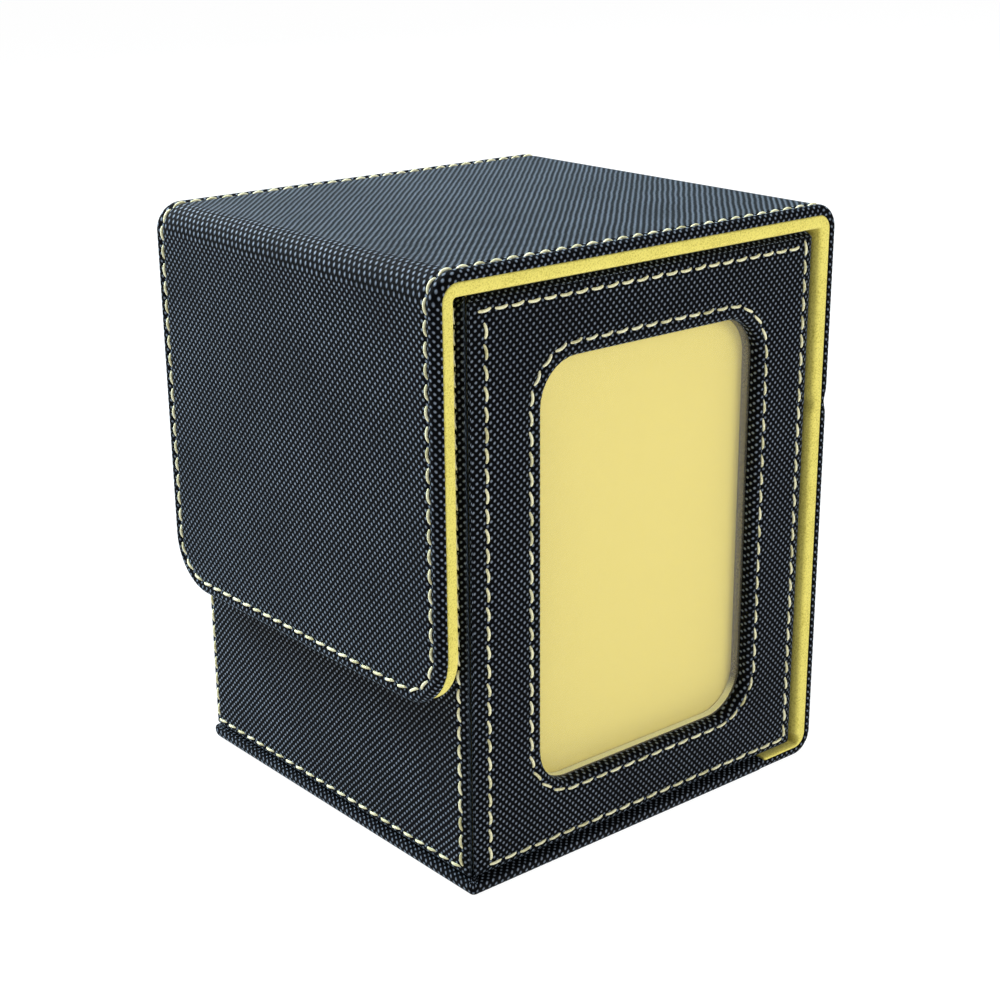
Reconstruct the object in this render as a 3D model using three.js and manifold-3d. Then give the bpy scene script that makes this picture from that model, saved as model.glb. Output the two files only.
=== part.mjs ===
// Card deck box with a display window, a wrap-around cover and a magnetic closing flap.
// Millimetres, +Z up. The window looks along -Y, the closing flap hangs on -X, the cover's hinge is on +X.
import * as THREE from 'three';
import { mergeVertices } from 'three/addons/utils/BufferGeometryUtils.js';
import Module from 'manifold-3d';

// ---------------------------------------------------------------- driving sizes
const BASE_WIDTH = 87; // X, the bottom panel
const BASE_DEPTH = 85.4; // Y, the bottom panel
const TOTAL_HEIGHT = 111.8; // Z, floor to the top of the closed lid

// the cover: a black leatherette ply outside and a suede-lined ply inside, each over its own board
const LEATHER_PLY = 1.8;
const LINING_PLY = 2.5;
const LEATHER_SKIN = 0.7; // leatherette with its turned edge
const SUEDE_SKIN = 0.6; // suede with its turned edge
const PLY_GAP = 0.05; // glue line between plies
const COVER_EDGE_INSET = 0.25; // the cover is this much narrower than the base on each side
const FLAP_BEND_HOLLOW = 0.8; // inside radius of the soft bend between the lid and the flap
const LID_BEND_HOLLOW = 0.3;
const HEEL_BEND_HOLLOW = 0.3;
const FOLD_HEIGHT = 74; // crease across the back
const FOLD_WIDTH = 5;
const FLAP_BOTTOM = 36.2; // lower edge of the closed flap
const FLAP_CORNER_RADIUS = 10.5;
const BASE_PLY = 2.4;
const BASE_OVERHANG = 0.4; // the base stands out in front of the front wall
const TAIL_LENGTH = 9; // end of the back lining, turned under the box
const TAIL_THICKNESS = 1;

// the box
const PANEL_RECESS = 0.9; // side panels lie behind the base's edge
const WALL_BOARD = 2;
const PANEL_BOARD = 1.8;
const FOOT_GAP = 0.3; // groove between the walls and the base
const MITRE_GAP = 0.5; // groove between the front wall and each side panel
const PANEL_TO_COVER_GAP = 0.4;
const FLAP_GAP = 2.1; // between the closed flap and the front wall
const LID_GAP = 0.7; // between the closed lid and the walls' top edge
const LINING_CLEARANCE = 0.4; // linings stop short of the walls' edges

// the window and the display pocket behind it
const WINDOW_WIDTH = 52.8;
const WINDOW_HEIGHT = 79;
const WINDOW_SILL = 14.6; // lower edge above the floor the box stands on
const WINDOW_SHIFT = 0.05; // from the middle of the base, along X
const WINDOW_CORNER_RADIUS = 8;
const PANE_THICKNESS = 0.3;
const WINDOW_LINING = 1.5;
const CARD_WIDTH = 66;
const CARD_HEIGHT = 91;
const CARD_THICKNESS = 0.7;
const CARD_CLEARANCE = 0.35; // each side, between the card and its slot
const SLOT_THICKNESS = 0.9;
const POCKET_BOARD = 1.4;

// magnets and dividers
const MAGNET_DIAMETER = 10;
const MAGNET_THICKNESS = 1.4;
const MAGNET_CLEARANCE = 0.2;
const MAGNET_COUNT = 3;
const MAGNET_PITCH = 24;
const MAGNET_FROM_FLAP_EDGE = 12;
const DIVIDER_COUNT = 2;
const DIVIDER_THICKNESS = 1.5;
const DIVIDER_CLEARANCE = 0.6;
const DIVIDER_HEAD_ROOM = 6; // below the walls' top edge

const ARC_STEPS = 16;
const CUT_OVERSHOOT = 1; // how far a cutting solid runs past the face it cuts

// ---------------------------------------------------------------- derived planes
const coverThickness = LEATHER_PLY + LINING_PLY;
const flapBendRadius = coverThickness + FLAP_BEND_HOLLOW;
const lidBendRadius = coverThickness + LID_BEND_HOLLOW;
const heelBendRadius = coverThickness + HEEL_BEND_HOLLOW;
const coverDepth = BASE_DEPTH - 2 * COVER_EDGE_INSET;
const wallFront = -BASE_WIDTH / 2 + BASE_OVERHANG;
const flapInner = wallFront - FLAP_GAP;
const flapOuter = flapInner - coverThickness;
const backOuter = BASE_WIDTH / 2 + LEATHER_PLY + BASE_OVERHANG / 2;
const backInner = backOuter - coverThickness;
const lidInner = TOTAL_HEIGHT - coverThickness;
const wallTop = lidInner - LID_GAP;
const tailTop = LEATHER_PLY + TAIL_THICKNESS;
const wallFoot = Math.max(BASE_PLY, tailTop) + FOOT_GAP;
const sideOuter = BASE_DEPTH / 2 - PANEL_RECESS;
const panelThickness = LEATHER_SKIN + PANEL_BOARD + PLY_GAP;
const frontThickness = LEATHER_SKIN + WALL_BOARD + PLY_GAP;
const backWallOuter = backInner - PLY_GAP;
const backWallInner = backWallOuter - LEATHER_SKIN - WALL_BOARD - PLY_GAP;
const panelEnd = backInner - PANEL_TO_COVER_GAP;

// inside faces of the card compartment
const innerFront = wallFront + frontThickness + PLY_GAP + SUEDE_SKIN;
const innerBack = backWallInner - PLY_GAP - SUEDE_SKIN;
const floorLiningFoot = Math.max(BASE_PLY, tailTop) + PLY_GAP;
const innerFloor = floorLiningFoot + SUEDE_SKIN;
const rearInner = sideOuter - panelThickness - PLY_GAP - SUEDE_SKIN;
const paneFace = -sideOuter + panelThickness + PLY_GAP;
const windowLiningFace = paneFace + PANE_THICKNESS + PLY_GAP;
const slotFace = windowLiningFace + WINDOW_LINING + PLY_GAP;
const pocketBoardFace = slotFace + SLOT_THICKNESS + PLY_GAP;
const pocketLiningFace = pocketBoardFace + POCKET_BOARD + PLY_GAP;
const windowInner = pocketLiningFace + SUEDE_SKIN;
const windowMiddle = WINDOW_SILL + WINDOW_HEIGHT / 2;

// the whole part stands centred on its own box, so X moves by half of what the flap adds
const centreShift = -(flapOuter + backOuter) / 2;

// ---------------------------------------------------------------- materials
const finish = (color, roughness, metalness = 0) =>
  new THREE.MeshStandardMaterial({ color, roughness, metalness });
const leather = () => finish(0x151a22, 0.55);
const suede = () => finish(0xf0e268, 0.95);
const greyBoard = () => finish(0x8d8577, 0.9);
const magnetMetal = () => finish(0xb9bcc0, 0.3, 0.9);

// ---------------------------------------------------------------- solids
const wasm = await Module();
wasm.setup();

function toManifold(geometry) {
  const bare = geometry.clone();
  bare.deleteAttribute('normal');
  bare.deleteAttribute('uv');
  const merged = mergeVertices(bare, 1e-4);
  return new wasm.Manifold(
    new wasm.Mesh({
      numProp: 3,
      vertProperties: new Float32Array(merged.attributes.position.array),
      triVerts: new Uint32Array(merged.index.array),
    }),
  );
}

function fromManifold(solid) {
  const mesh = solid.getMesh();
  const geometry = new THREE.BufferGeometry();
  geometry.setAttribute('position', new THREE.BufferAttribute(new Float32Array(mesh.vertProperties), 3));
  geometry.setIndex(new THREE.BufferAttribute(new Uint32Array(mesh.triVerts), 1));
  geometry.computeVertexNormals();
  return geometry;
}

function cut(geometry, ...tools) {
  let solid = toManifold(geometry);
  for (const tool of tools) solid = solid.subtract(toManifold(tool));
  return fromManifold(solid);
}

function named(name, geometry, material) {
  const mesh = new THREE.Mesh(geometry, material);
  mesh.name = name;
  return mesh;
}

// an axis-aligned block between two corners
function block([x0, y0, z0], [x1, y1, z1]) {
  const geometry = new THREE.BoxGeometry(x1 - x0, y1 - y0, z1 - z0);
  return geometry.translate((x0 + x1) / 2, (y0 + y1) / 2, (z0 + z1) / 2);
}

// a plan outline of [x, y] corners, standing from one height to another
function upright(corners, bottom, top) {
  const shape = new THREE.Shape(corners.map(([x, y]) => new THREE.Vector2(x, y)));
  const geometry = new THREE.ExtrudeGeometry(shape, { depth: top - bottom, bevelEnabled: false });
  return geometry.translate(0, 0, bottom);
}

// a shape drawn in X and Z, carried across the box from -depth / 2 to depth / 2
function across(shape, depth) {
  const geometry = new THREE.ExtrudeGeometry(shape, { depth, bevelEnabled: false, curveSegments: ARC_STEPS });
  return geometry.rotateX(Math.PI / 2).translate(0, depth / 2, 0);
}

// a rectangle from x = 0 to length, centred on y, with its two far corners rounded
function tongueShape(length, depth, inset, radius) {
  const shape = new THREE.Shape();
  const half = depth / 2 - inset;
  const end = length - inset;
  const r = Math.max(radius - inset, 0);
  shape.moveTo(inset, -half);
  if (r > 0) {
    shape.lineTo(end - r, -half);
    shape.absarc(end - r, -half + r, r, -Math.PI / 2, 0, false);
    shape.absarc(end - r, half - r, r, 0, Math.PI / 2, false);
  } else {
    shape.lineTo(end, -half);
    shape.lineTo(end, half);
  }
  shape.lineTo(inset, half);
  shape.closePath();
  return shape;
}

function tongue(length, inset, radius, bottom, top) {
  const shape = tongueShape(length, coverDepth, inset, radius);
  const options = { depth: top - bottom, bevelEnabled: false, curveSegments: ARC_STEPS };
  return new THREE.ExtrudeGeometry(shape, options).translate(0, 0, bottom);
}

// ---------------------------------------------------------------- the cover
// One flat panel of the cover, lying with its lining's inner face on z = 0 and its outer face up.
function coverPanel(name, length, cornerRadius, magnetSpots = []) {
  const panel = new THREE.Group();
  const leatherBottom = LINING_PLY + PLY_GAP;
  const leatherPocket = coverThickness - LEATHER_SKIN;

  const linedHollow = tongue(length, SUEDE_SKIN, cornerRadius, SUEDE_SKIN, LINING_PLY + CUT_OVERSHOOT);
  const lining = cut(tongue(length, 0, cornerRadius, 0, LINING_PLY), linedHollow);
  const boardInset = SUEDE_SKIN + PLY_GAP;
  const innerBoard = tongue(length, boardInset, cornerRadius, boardInset, LINING_PLY - PLY_GAP);
  const holes = magnetSpots.map((spot) => magnetDisc(MAGNET_CLEARANCE, LINING_PLY * 2).translate(...spot));

  const hollowBottom = leatherBottom - CUT_OVERSHOOT;
  const leatherHollow = tongue(length, LEATHER_SKIN, cornerRadius, hollowBottom, leatherPocket);
  const skin = cut(tongue(length, 0, cornerRadius, leatherBottom, coverThickness), leatherHollow);
  const outerInset = LEATHER_SKIN + PLY_GAP;
  const outerBoardFoot = leatherBottom + PLY_GAP;
  const outerBoard = tongue(length, outerInset, cornerRadius, outerBoardFoot, leatherPocket - PLY_GAP);

  panel.add(
    named(`${name}_leather`, skin, leather()),
    named(`${name}_outer_board`, outerBoard, greyBoard()),
    named(`${name}_inner_board`, holes.length ? cut(innerBoard, ...holes) : innerBoard, greyBoard()),
    named(`${name}_lining`, lining, suede()),
  );
  return panel;
}

// a magnet, or the hole that holds it, standing on z and centred on the origin
function magnetDisc(clearance, thickness) {
  const radius = MAGNET_DIAMETER / 2 + clearance;
  return new THREE.CylinderGeometry(radius, radius, thickness, 32).rotateX(Math.PI / 2);
}

// part of a ring in X and Z, from the first angle to the second
function bend(centre, inner, outer, from, to) {
  const shape = new THREE.Shape();
  shape.absarc(centre.x, centre.z, outer, from, to, false);
  shape.absarc(centre.x, centre.z, inner, to, from, true);
  shape.closePath();
  return across(shape, coverDepth);
}

function coverBend(name, centre, radius, from, to) {
  const leatherInner = radius - LEATHER_PLY + PLY_GAP;
  const bendGroup = new THREE.Group();
  bendGroup.add(
    named(`${name}_leather`, bend(centre, leatherInner, radius, from, to), leather()),
    named(`${name}_lining`, bend(centre, radius - coverThickness, radius - LEATHER_PLY, from, to), suede()),
  );
  return bendGroup;
}

// spots for the flap's magnets: distance from its hinged end, place across, height in its inner board
function magnetPlaces() {
  const places = [];
  for (let i = 0; i < MAGNET_COUNT; i += 1) places.push((i - (MAGNET_COUNT - 1) / 2) * MAGNET_PITCH);
  return places;
}

function buildFlap() {
  const top = TOTAL_HEIGHT - flapBendRadius - PLY_GAP;
  const length = top - FLAP_BOTTOM;
  const magnetHeight = (SUEDE_SKIN + LINING_PLY) / 2;
  const spots = magnetPlaces().map((y) => [length - MAGNET_FROM_FLAP_EDGE, y, magnetHeight]);
  const flap = coverPanel('flap', length, FLAP_CORNER_RADIUS, spots);
  spots.forEach((spot, i) => {
    const magnet = named(`flap_magnet_${i + 1}`, magnetDisc(0, MAGNET_THICKNESS), magnetMetal());
    magnet.position.set(...spot);
    flap.add(magnet);
  });
  flap.rotation.set(Math.PI, Math.PI / 2, 0, 'YXZ');
  flap.position.set(flapInner, 0, top);
  return flap;
}

function buildLid() {
  const start = flapOuter + flapBendRadius + PLY_GAP;
  const end = backOuter - lidBendRadius - PLY_GAP;
  const lid = coverPanel('lid', end - start, 0);
  lid.position.set(start, 0, lidInner);
  return lid;
}

// an upright panel at the back, between two heights, with its outer face towards +X
function backPanel(name, bottom, top) {
  const panel = coverPanel(name, top - bottom, 0);
  panel.rotation.y = Math.PI / 2;
  panel.position.set(backInner, 0, top);
  return panel;
}

function buildFold() {
  const bottom = FOLD_HEIGHT - FOLD_WIDTH / 2 + PLY_GAP;
  const top = FOLD_HEIGHT + FOLD_WIDTH / 2 - PLY_GAP;
  const half = coverDepth / 2;
  const seam = backInner + LINING_PLY;
  const fold = new THREE.Group();
  fold.add(
    named('back_fold_leather', block([seam + PLY_GAP, -half, bottom], [backOuter, half, top]), leather()),
    named('back_fold_lining', block([backInner, -half, bottom], [seam, half, top]), suede()),
  );
  return fold;
}

// the leatherette turning under the box, and the end of the back lining turned in with it
function buildHeel() {
  const centre = { x: backOuter - heelBendRadius, z: heelBendRadius };
  const tailEnd = centre.x - TAIL_LENGTH;
  const leatherInner = heelBendRadius - LEATHER_PLY + PLY_GAP;
  const heelShape = new THREE.Shape();
  heelShape.moveTo(tailEnd, 0);
  heelShape.lineTo(centre.x, 0);
  heelShape.absarc(centre.x, centre.z, heelBendRadius, -Math.PI / 2, 0, false);
  heelShape.absarc(centre.x, centre.z, leatherInner, 0, -Math.PI / 2, true);
  heelShape.lineTo(tailEnd, LEATHER_PLY - PLY_GAP);
  heelShape.closePath();

  const liningOuter = heelBendRadius - LEATHER_PLY;
  const liningInnerX = centre.x + liningOuter - LINING_PLY;
  const tailShape = new THREE.Shape();
  tailShape.moveTo(tailEnd, LEATHER_PLY);
  tailShape.lineTo(centre.x, LEATHER_PLY);
  tailShape.absarc(centre.x, centre.z, liningOuter, -Math.PI / 2, 0, false);
  tailShape.lineTo(liningInnerX, centre.z);
  tailShape.quadraticCurveTo(liningInnerX, tailTop, centre.x, tailTop);
  tailShape.lineTo(tailEnd, tailTop);
  tailShape.closePath();

  const heel = new THREE.Group();
  heel.add(
    named('heel_leather', across(heelShape, coverDepth), leather()),
    named('heel_lining', across(tailShape, coverDepth), suede()),
  );
  return heel;
}

// ---------------------------------------------------------------- the box
function buildBase() {
  const left = -BASE_WIDTH / 2;
  const right = backOuter - heelBendRadius - TAIL_LENGTH - PLY_GAP;
  const half = BASE_DEPTH / 2;
  const skin = LEATHER_SKIN;
  const outside = block([left, -half, 0], [right, half, BASE_PLY]);
  const hollow = block(
    [left + skin, -half + skin, skin],
    [right - skin, half - skin, BASE_PLY + CUT_OVERSHOOT],
  );
  const inset = skin + PLY_GAP;
  const board = block(
    [left + inset, -half + inset, inset],
    [right - inset, half - inset, BASE_PLY - PLY_GAP],
  );
  const floor = block(
    [innerFront, windowInner, floorLiningFoot],
    [innerBack, rearInner, innerFloor],
  );
  const base = new THREE.Group();
  base.add(
    named('base_leather', cut(outside, hollow), leather()),
    named('base_board', board, greyBoard()),
    named('floor_lining', floor, suede()),
  );
  return base;
}

// The front wall: mitred at both ends, its leather turned round the board on every edge.
function buildFrontWall() {
  const corner = sideOuter - MITRE_GAP;
  const outline = (skin, depth) => {
    const near = corner - skin * 2;
    return [
      [wallFront + skin, -near],
      [wallFront + skin, near],
      [wallFront + depth, near - depth + skin],
      [wallFront + depth, -near + depth - skin],
    ].reverse();
  };
  const skin = LEATHER_SKIN;
  const outside = upright(outline(0, frontThickness), wallFoot, wallTop);
  const hollow = upright(outline(skin, frontThickness + CUT_OVERSHOOT), wallFoot + skin, wallTop - skin);
  const inset = skin + PLY_GAP;
  const board = upright(outline(inset, frontThickness), wallFoot + inset, wallTop - inset);

  const magnetX = wallFront + (LEATHER_SKIN + frontThickness) / 2;
  const magnetZ = FLAP_BOTTOM + MAGNET_FROM_FLAP_EDGE;
  const inBoard = (geometry, y) => geometry.rotateY(Math.PI / 2).translate(magnetX, y, magnetZ);
  const holes = magnetPlaces().map((y) => inBoard(magnetDisc(MAGNET_CLEARANCE, frontThickness * 2), y));

  const liningOuter = wallFront + frontThickness + PLY_GAP;
  const lining = block(
    [liningOuter, windowInner, innerFloor + PLY_GAP],
    [liningOuter + SUEDE_SKIN - PLY_GAP, rearInner, wallTop - LINING_CLEARANCE],
  );
  const wall = new THREE.Group();
  wall.add(
    named('front_wall_leather', cut(outside, hollow), leather()),
    named('front_wall_board', cut(board, ...holes), greyBoard()),
    named('front_wall_lining', lining, suede()),
  );
  magnetPlaces().forEach((y, i) => {
    const magnet = named(`wall_magnet_${i + 1}`, magnetDisc(0, MAGNET_THICKNESS), magnetMetal());
    magnet.position.set(magnetX, y, magnetZ);
    magnet.rotation.y = Math.PI / 2;
    wall.add(magnet);
  });
  return wall;
}

// plan outline of a side panel; side is -1 for the window side and 1 for the far side
function sidePanelOutline(side, skin, depth) {
  const outer = sideOuter - skin;
  const inner = sideOuter - depth;
  const mitre = wallFront + MITRE_GAP + skin * 2;
  const outline = [
    [mitre, side * outer],
    [panelEnd - skin, side * outer],
    [panelEnd - skin, side * inner],
    [mitre + depth - skin, side * inner],
  ];
  return side > 0 ? outline.reverse() : outline;
}

function windowShape(grow) {
  const half = WINDOW_WIDTH / 2 + grow;
  const low = -WINDOW_HEIGHT / 2 - grow;
  const r = WINDOW_CORNER_RADIUS + grow;
  const shape = new THREE.Shape();
  shape.absarc(half - r, low + r, r, -Math.PI / 2, 0, false);
  shape.absarc(half - r, -low - r, r, 0, Math.PI / 2, false);
  shape.absarc(-half + r, -low - r, r, Math.PI / 2, Math.PI, false);
  shape.absarc(-half + r, low + r, r, Math.PI, Math.PI * 1.5, false);
  shape.closePath();
  return shape;
}

// the window's opening, as a solid that runs between two places in Y
function windowPlug(grow, from, to) {
  const options = { depth: to - from, bevelEnabled: false, curveSegments: ARC_STEPS };
  const plug = new THREE.ExtrudeGeometry(windowShape(grow), options).rotateX(Math.PI / 2);
  return plug.translate(WINDOW_SHIFT, to, windowMiddle);
}

function buildSidePanel(name, side, withWindow) {
  const skin = LEATHER_SKIN;
  const inset = skin + PLY_GAP;
  const outside = upright(sidePanelOutline(side, 0, panelThickness), wallFoot, wallTop);
  const hollow = upright(
    sidePanelOutline(side, skin, panelThickness + CUT_OVERSHOOT),
    wallFoot + skin,
    wallTop - skin,
  );
  const board = upright(sidePanelOutline(side, inset, panelThickness), wallFoot + inset, wallTop - inset);
  let leatherSolid = cut(outside, hollow);
  let boardSolid = board;
  if (withWindow) {
    const from = -sideOuter - CUT_OVERSHOOT;
    const to = paneFace + CUT_OVERSHOOT;
    const rim = cut(
      windowPlug(skin, -sideOuter + skin / 2, -sideOuter + panelThickness),
      windowPlug(0, from, to),
    );
    const opened = toManifold(leatherSolid).subtract(toManifold(windowPlug(0, from, to)));
    leatherSolid = fromManifold(opened.add(toManifold(rim)));
    boardSolid = cut(board, windowPlug(inset, from, to));
  }
  const panel = new THREE.Group();
  panel.add(
    named(`${name}_leather`, leatherSolid, leather()),
    named(`${name}_board`, boardSolid, greyBoard()),
  );
  return panel;
}

function buildRearLining() {
  const from = [innerFront, rearInner, innerFloor + PLY_GAP];
  const to = [innerBack, rearInner + SUEDE_SKIN - PLY_GAP, wallTop - LINING_CLEARANCE];
  return named('rear_panel_lining', block(from, to), suede());
}

function buildBackWall() {
  const half = sideOuter - panelThickness - PLY_GAP;
  const boardOuter = backWallOuter - LEATHER_SKIN - PLY_GAP;
  const boardInner = boardOuter - WALL_BOARD + PLY_GAP;
  const wall = new THREE.Group();
  wall.add(
    named(
      'back_wall_leather',
      block([backWallOuter - LEATHER_SKIN, -half, heelBendRadius], [backWallOuter, half, wallTop]),
      leather(),
    ),
    named(
      'back_wall_board',
      block([boardInner, -half, wallFoot], [boardOuter, half, wallTop]),
      greyBoard(),
    ),
    named(
      'back_wall_lining',
      block(
        [innerBack, windowInner, innerFloor + PLY_GAP],
        [innerBack + SUEDE_SKIN, rearInner - PLY_GAP, wallTop - LINING_CLEARANCE],
      ),
      suede(),
    ),
  );
  return wall;
}

// everything behind the window: clear pane, lined frame, card slot, and the board that closes the pocket
function buildPocket() {
  const left = innerFront - SUEDE_SKIN;
  const right = backWallInner - PLY_GAP;
  const top = wallTop - LINING_CLEARANCE;
  const layer = (from, thickness) => block([left, from, wallFoot], [right, from + thickness, top]);
  const slotHalf = CARD_WIDTH / 2 + CARD_CLEARANCE;
  const slotFloor = windowMiddle - CARD_HEIGHT / 2 - CARD_CLEARANCE;
  const slot = block(
    [WINDOW_SHIFT - slotHalf, slotFace - CUT_OVERSHOOT, slotFloor],
    [WINDOW_SHIFT + slotHalf, slotFace + SLOT_THICKNESS + CUT_OVERSHOOT, top + CUT_OVERSHOOT],
  );
  const card = named(
    'display_card',
    new THREE.BoxGeometry(CARD_WIDTH, CARD_THICKNESS, CARD_HEIGHT),
    finish(0xefe083, 0.6),
  );
  card.position.set(WINDOW_SHIFT, slotFace + SLOT_THICKNESS / 2, windowMiddle);

  const lining = block(
    [innerFront, pocketLiningFace, innerFloor + PLY_GAP],
    [innerBack, windowInner - PLY_GAP, top],
  );
  const clear = finish(0xffffff, 0.05);
  clear.transparent = true;
  clear.opacity = 0.2;
  const liningHole = windowPlug(0, windowLiningFace - CUT_OVERSHOOT, slotFace + CUT_OVERSHOOT);
  const pocket = new THREE.Group();
  pocket.add(
    named('window_pane', layer(paneFace, PANE_THICKNESS), clear),
    named('window_lining', cut(layer(windowLiningFace, WINDOW_LINING), liningHole), suede()),
    named('pocket_spacer', cut(layer(slotFace, SLOT_THICKNESS), slot), greyBoard()),
    card,
    named('pocket_board', layer(pocketBoardFace, POCKET_BOARD), greyBoard()),
    named('pocket_lining', lining, suede()),
  );
  return pocket;
}

// loose dividers standing in the card compartment, evenly spaced
function buildDividers() {
  const dividers = new THREE.Group();
  const width = innerBack - innerFront - 2 * DIVIDER_CLEARANCE;
  const height = wallTop - DIVIDER_HEAD_ROOM - innerFloor - PLY_GAP;
  const bay = (rearInner - windowInner) / (DIVIDER_COUNT + 1);
  for (let i = 1; i <= DIVIDER_COUNT; i += 1) {
    const divider = named(`divider_${i}`, new THREE.BoxGeometry(width, DIVIDER_THICKNESS, height), suede());
    divider.position.set(
      (innerFront + innerBack) / 2,
      windowInner + bay * i,
      innerFloor + PLY_GAP + height / 2,
    );
    dividers.add(divider);
  }
  return dividers;
}

// ---------------------------------------------------------------- the whole part
const quarter = Math.PI / 2;
const flapBendCentre = { x: flapOuter + flapBendRadius, z: TOTAL_HEIGHT - flapBendRadius };
const lidBendCentre = { x: backOuter - lidBendRadius, z: TOTAL_HEIGHT - lidBendRadius };
const foldHalf = FOLD_WIDTH / 2;

const deckBox = new THREE.Group();
deckBox.add(
  buildBase(),
  buildHeel(),
  buildFrontWall(),
  buildSidePanel('window_panel', -1, true),
  buildSidePanel('rear_panel', 1, false),
  buildRearLining(),
  buildBackWall(),
  buildPocket(),
  buildDividers(),
  backPanel('lower_back', heelBendRadius + PLY_GAP, FOLD_HEIGHT - foldHalf),
  buildFold(),
  backPanel('upper_back', FOLD_HEIGHT + foldHalf, TOTAL_HEIGHT - lidBendRadius - PLY_GAP),
  coverBend('lid_bend', lidBendCentre, lidBendRadius, 0, quarter),
  buildLid(),
  coverBend('flap_bend', flapBendCentre, flapBendRadius, quarter, 2 * quarter),
  buildFlap(),
);
deckBox.position.x = centreShift;

export default deckBox;
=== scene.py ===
"""Deck box: a stitched leatherette cover with a suede lining, wrapped round a card box with a window."""

import logging
import math
from dataclasses import dataclass, field
from enum import Enum
from typing import Callable, Iterable, Optional, Sequence

import bmesh
import bpy
from mathutils import Matrix, Vector

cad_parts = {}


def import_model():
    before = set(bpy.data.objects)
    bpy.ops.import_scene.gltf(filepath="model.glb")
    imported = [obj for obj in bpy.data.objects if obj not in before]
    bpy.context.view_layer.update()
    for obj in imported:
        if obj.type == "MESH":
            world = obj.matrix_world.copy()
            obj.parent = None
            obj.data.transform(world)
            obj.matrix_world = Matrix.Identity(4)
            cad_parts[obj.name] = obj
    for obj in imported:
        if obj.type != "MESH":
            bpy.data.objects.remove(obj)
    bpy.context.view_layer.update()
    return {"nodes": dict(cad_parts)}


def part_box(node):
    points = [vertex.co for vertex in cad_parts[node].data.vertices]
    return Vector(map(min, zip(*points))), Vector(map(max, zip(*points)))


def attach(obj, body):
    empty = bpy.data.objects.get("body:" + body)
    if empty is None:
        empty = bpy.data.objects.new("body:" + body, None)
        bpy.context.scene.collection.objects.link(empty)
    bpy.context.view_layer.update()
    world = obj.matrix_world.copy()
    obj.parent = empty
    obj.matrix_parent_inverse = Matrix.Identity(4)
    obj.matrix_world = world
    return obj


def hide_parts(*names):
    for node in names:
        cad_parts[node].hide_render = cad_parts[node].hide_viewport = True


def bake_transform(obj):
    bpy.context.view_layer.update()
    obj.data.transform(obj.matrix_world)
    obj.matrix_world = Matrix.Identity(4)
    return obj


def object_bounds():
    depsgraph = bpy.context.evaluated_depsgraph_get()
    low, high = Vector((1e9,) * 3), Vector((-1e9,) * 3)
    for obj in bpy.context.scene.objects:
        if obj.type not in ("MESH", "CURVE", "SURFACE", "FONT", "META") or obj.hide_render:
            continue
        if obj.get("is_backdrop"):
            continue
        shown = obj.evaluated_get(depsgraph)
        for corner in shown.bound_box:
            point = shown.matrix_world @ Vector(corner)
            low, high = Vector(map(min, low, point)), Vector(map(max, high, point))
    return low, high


MM = 0.001
QUARTER = math.pi / 2
GUARD = 0.6 * MM
CLEARANCE = 0.1 * MM
CLOTH_UV = "cloth"
LOG = logging.getLogger("deck_box")

Pair = tuple[float, float]
Tone = tuple[float, float, float, float]
SeamPoint = tuple[Vector, Vector]
Bend = tuple[str, str, Vector, Vector]
Row = Sequence[bmesh.types.BMVert]


class Slot(Enum):
    """The record's finishes."""

    LEATHERETTE = "leatherette"
    SUEDE = "suede"
    GREY_BOARD = "grey_board"
    MAGNET = "magnet"
    CLEAR_PANE = "clear_pane"
    INSERT_CARD = "insert_card"


def add_object(name: str, data: bpy.types.ID) -> bpy.types.Object:
    """Puts new data into the scene.

    Args:
        name: The object's name.
        data: Its mesh, lamp or camera.

    Returns:
        The new object.
    """
    made = bpy.data.objects.new(name, data)
    bpy.context.scene.collection.objects.link(made)
    return made


# ---------------------------------------------------------------------------
# Finishes


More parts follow.
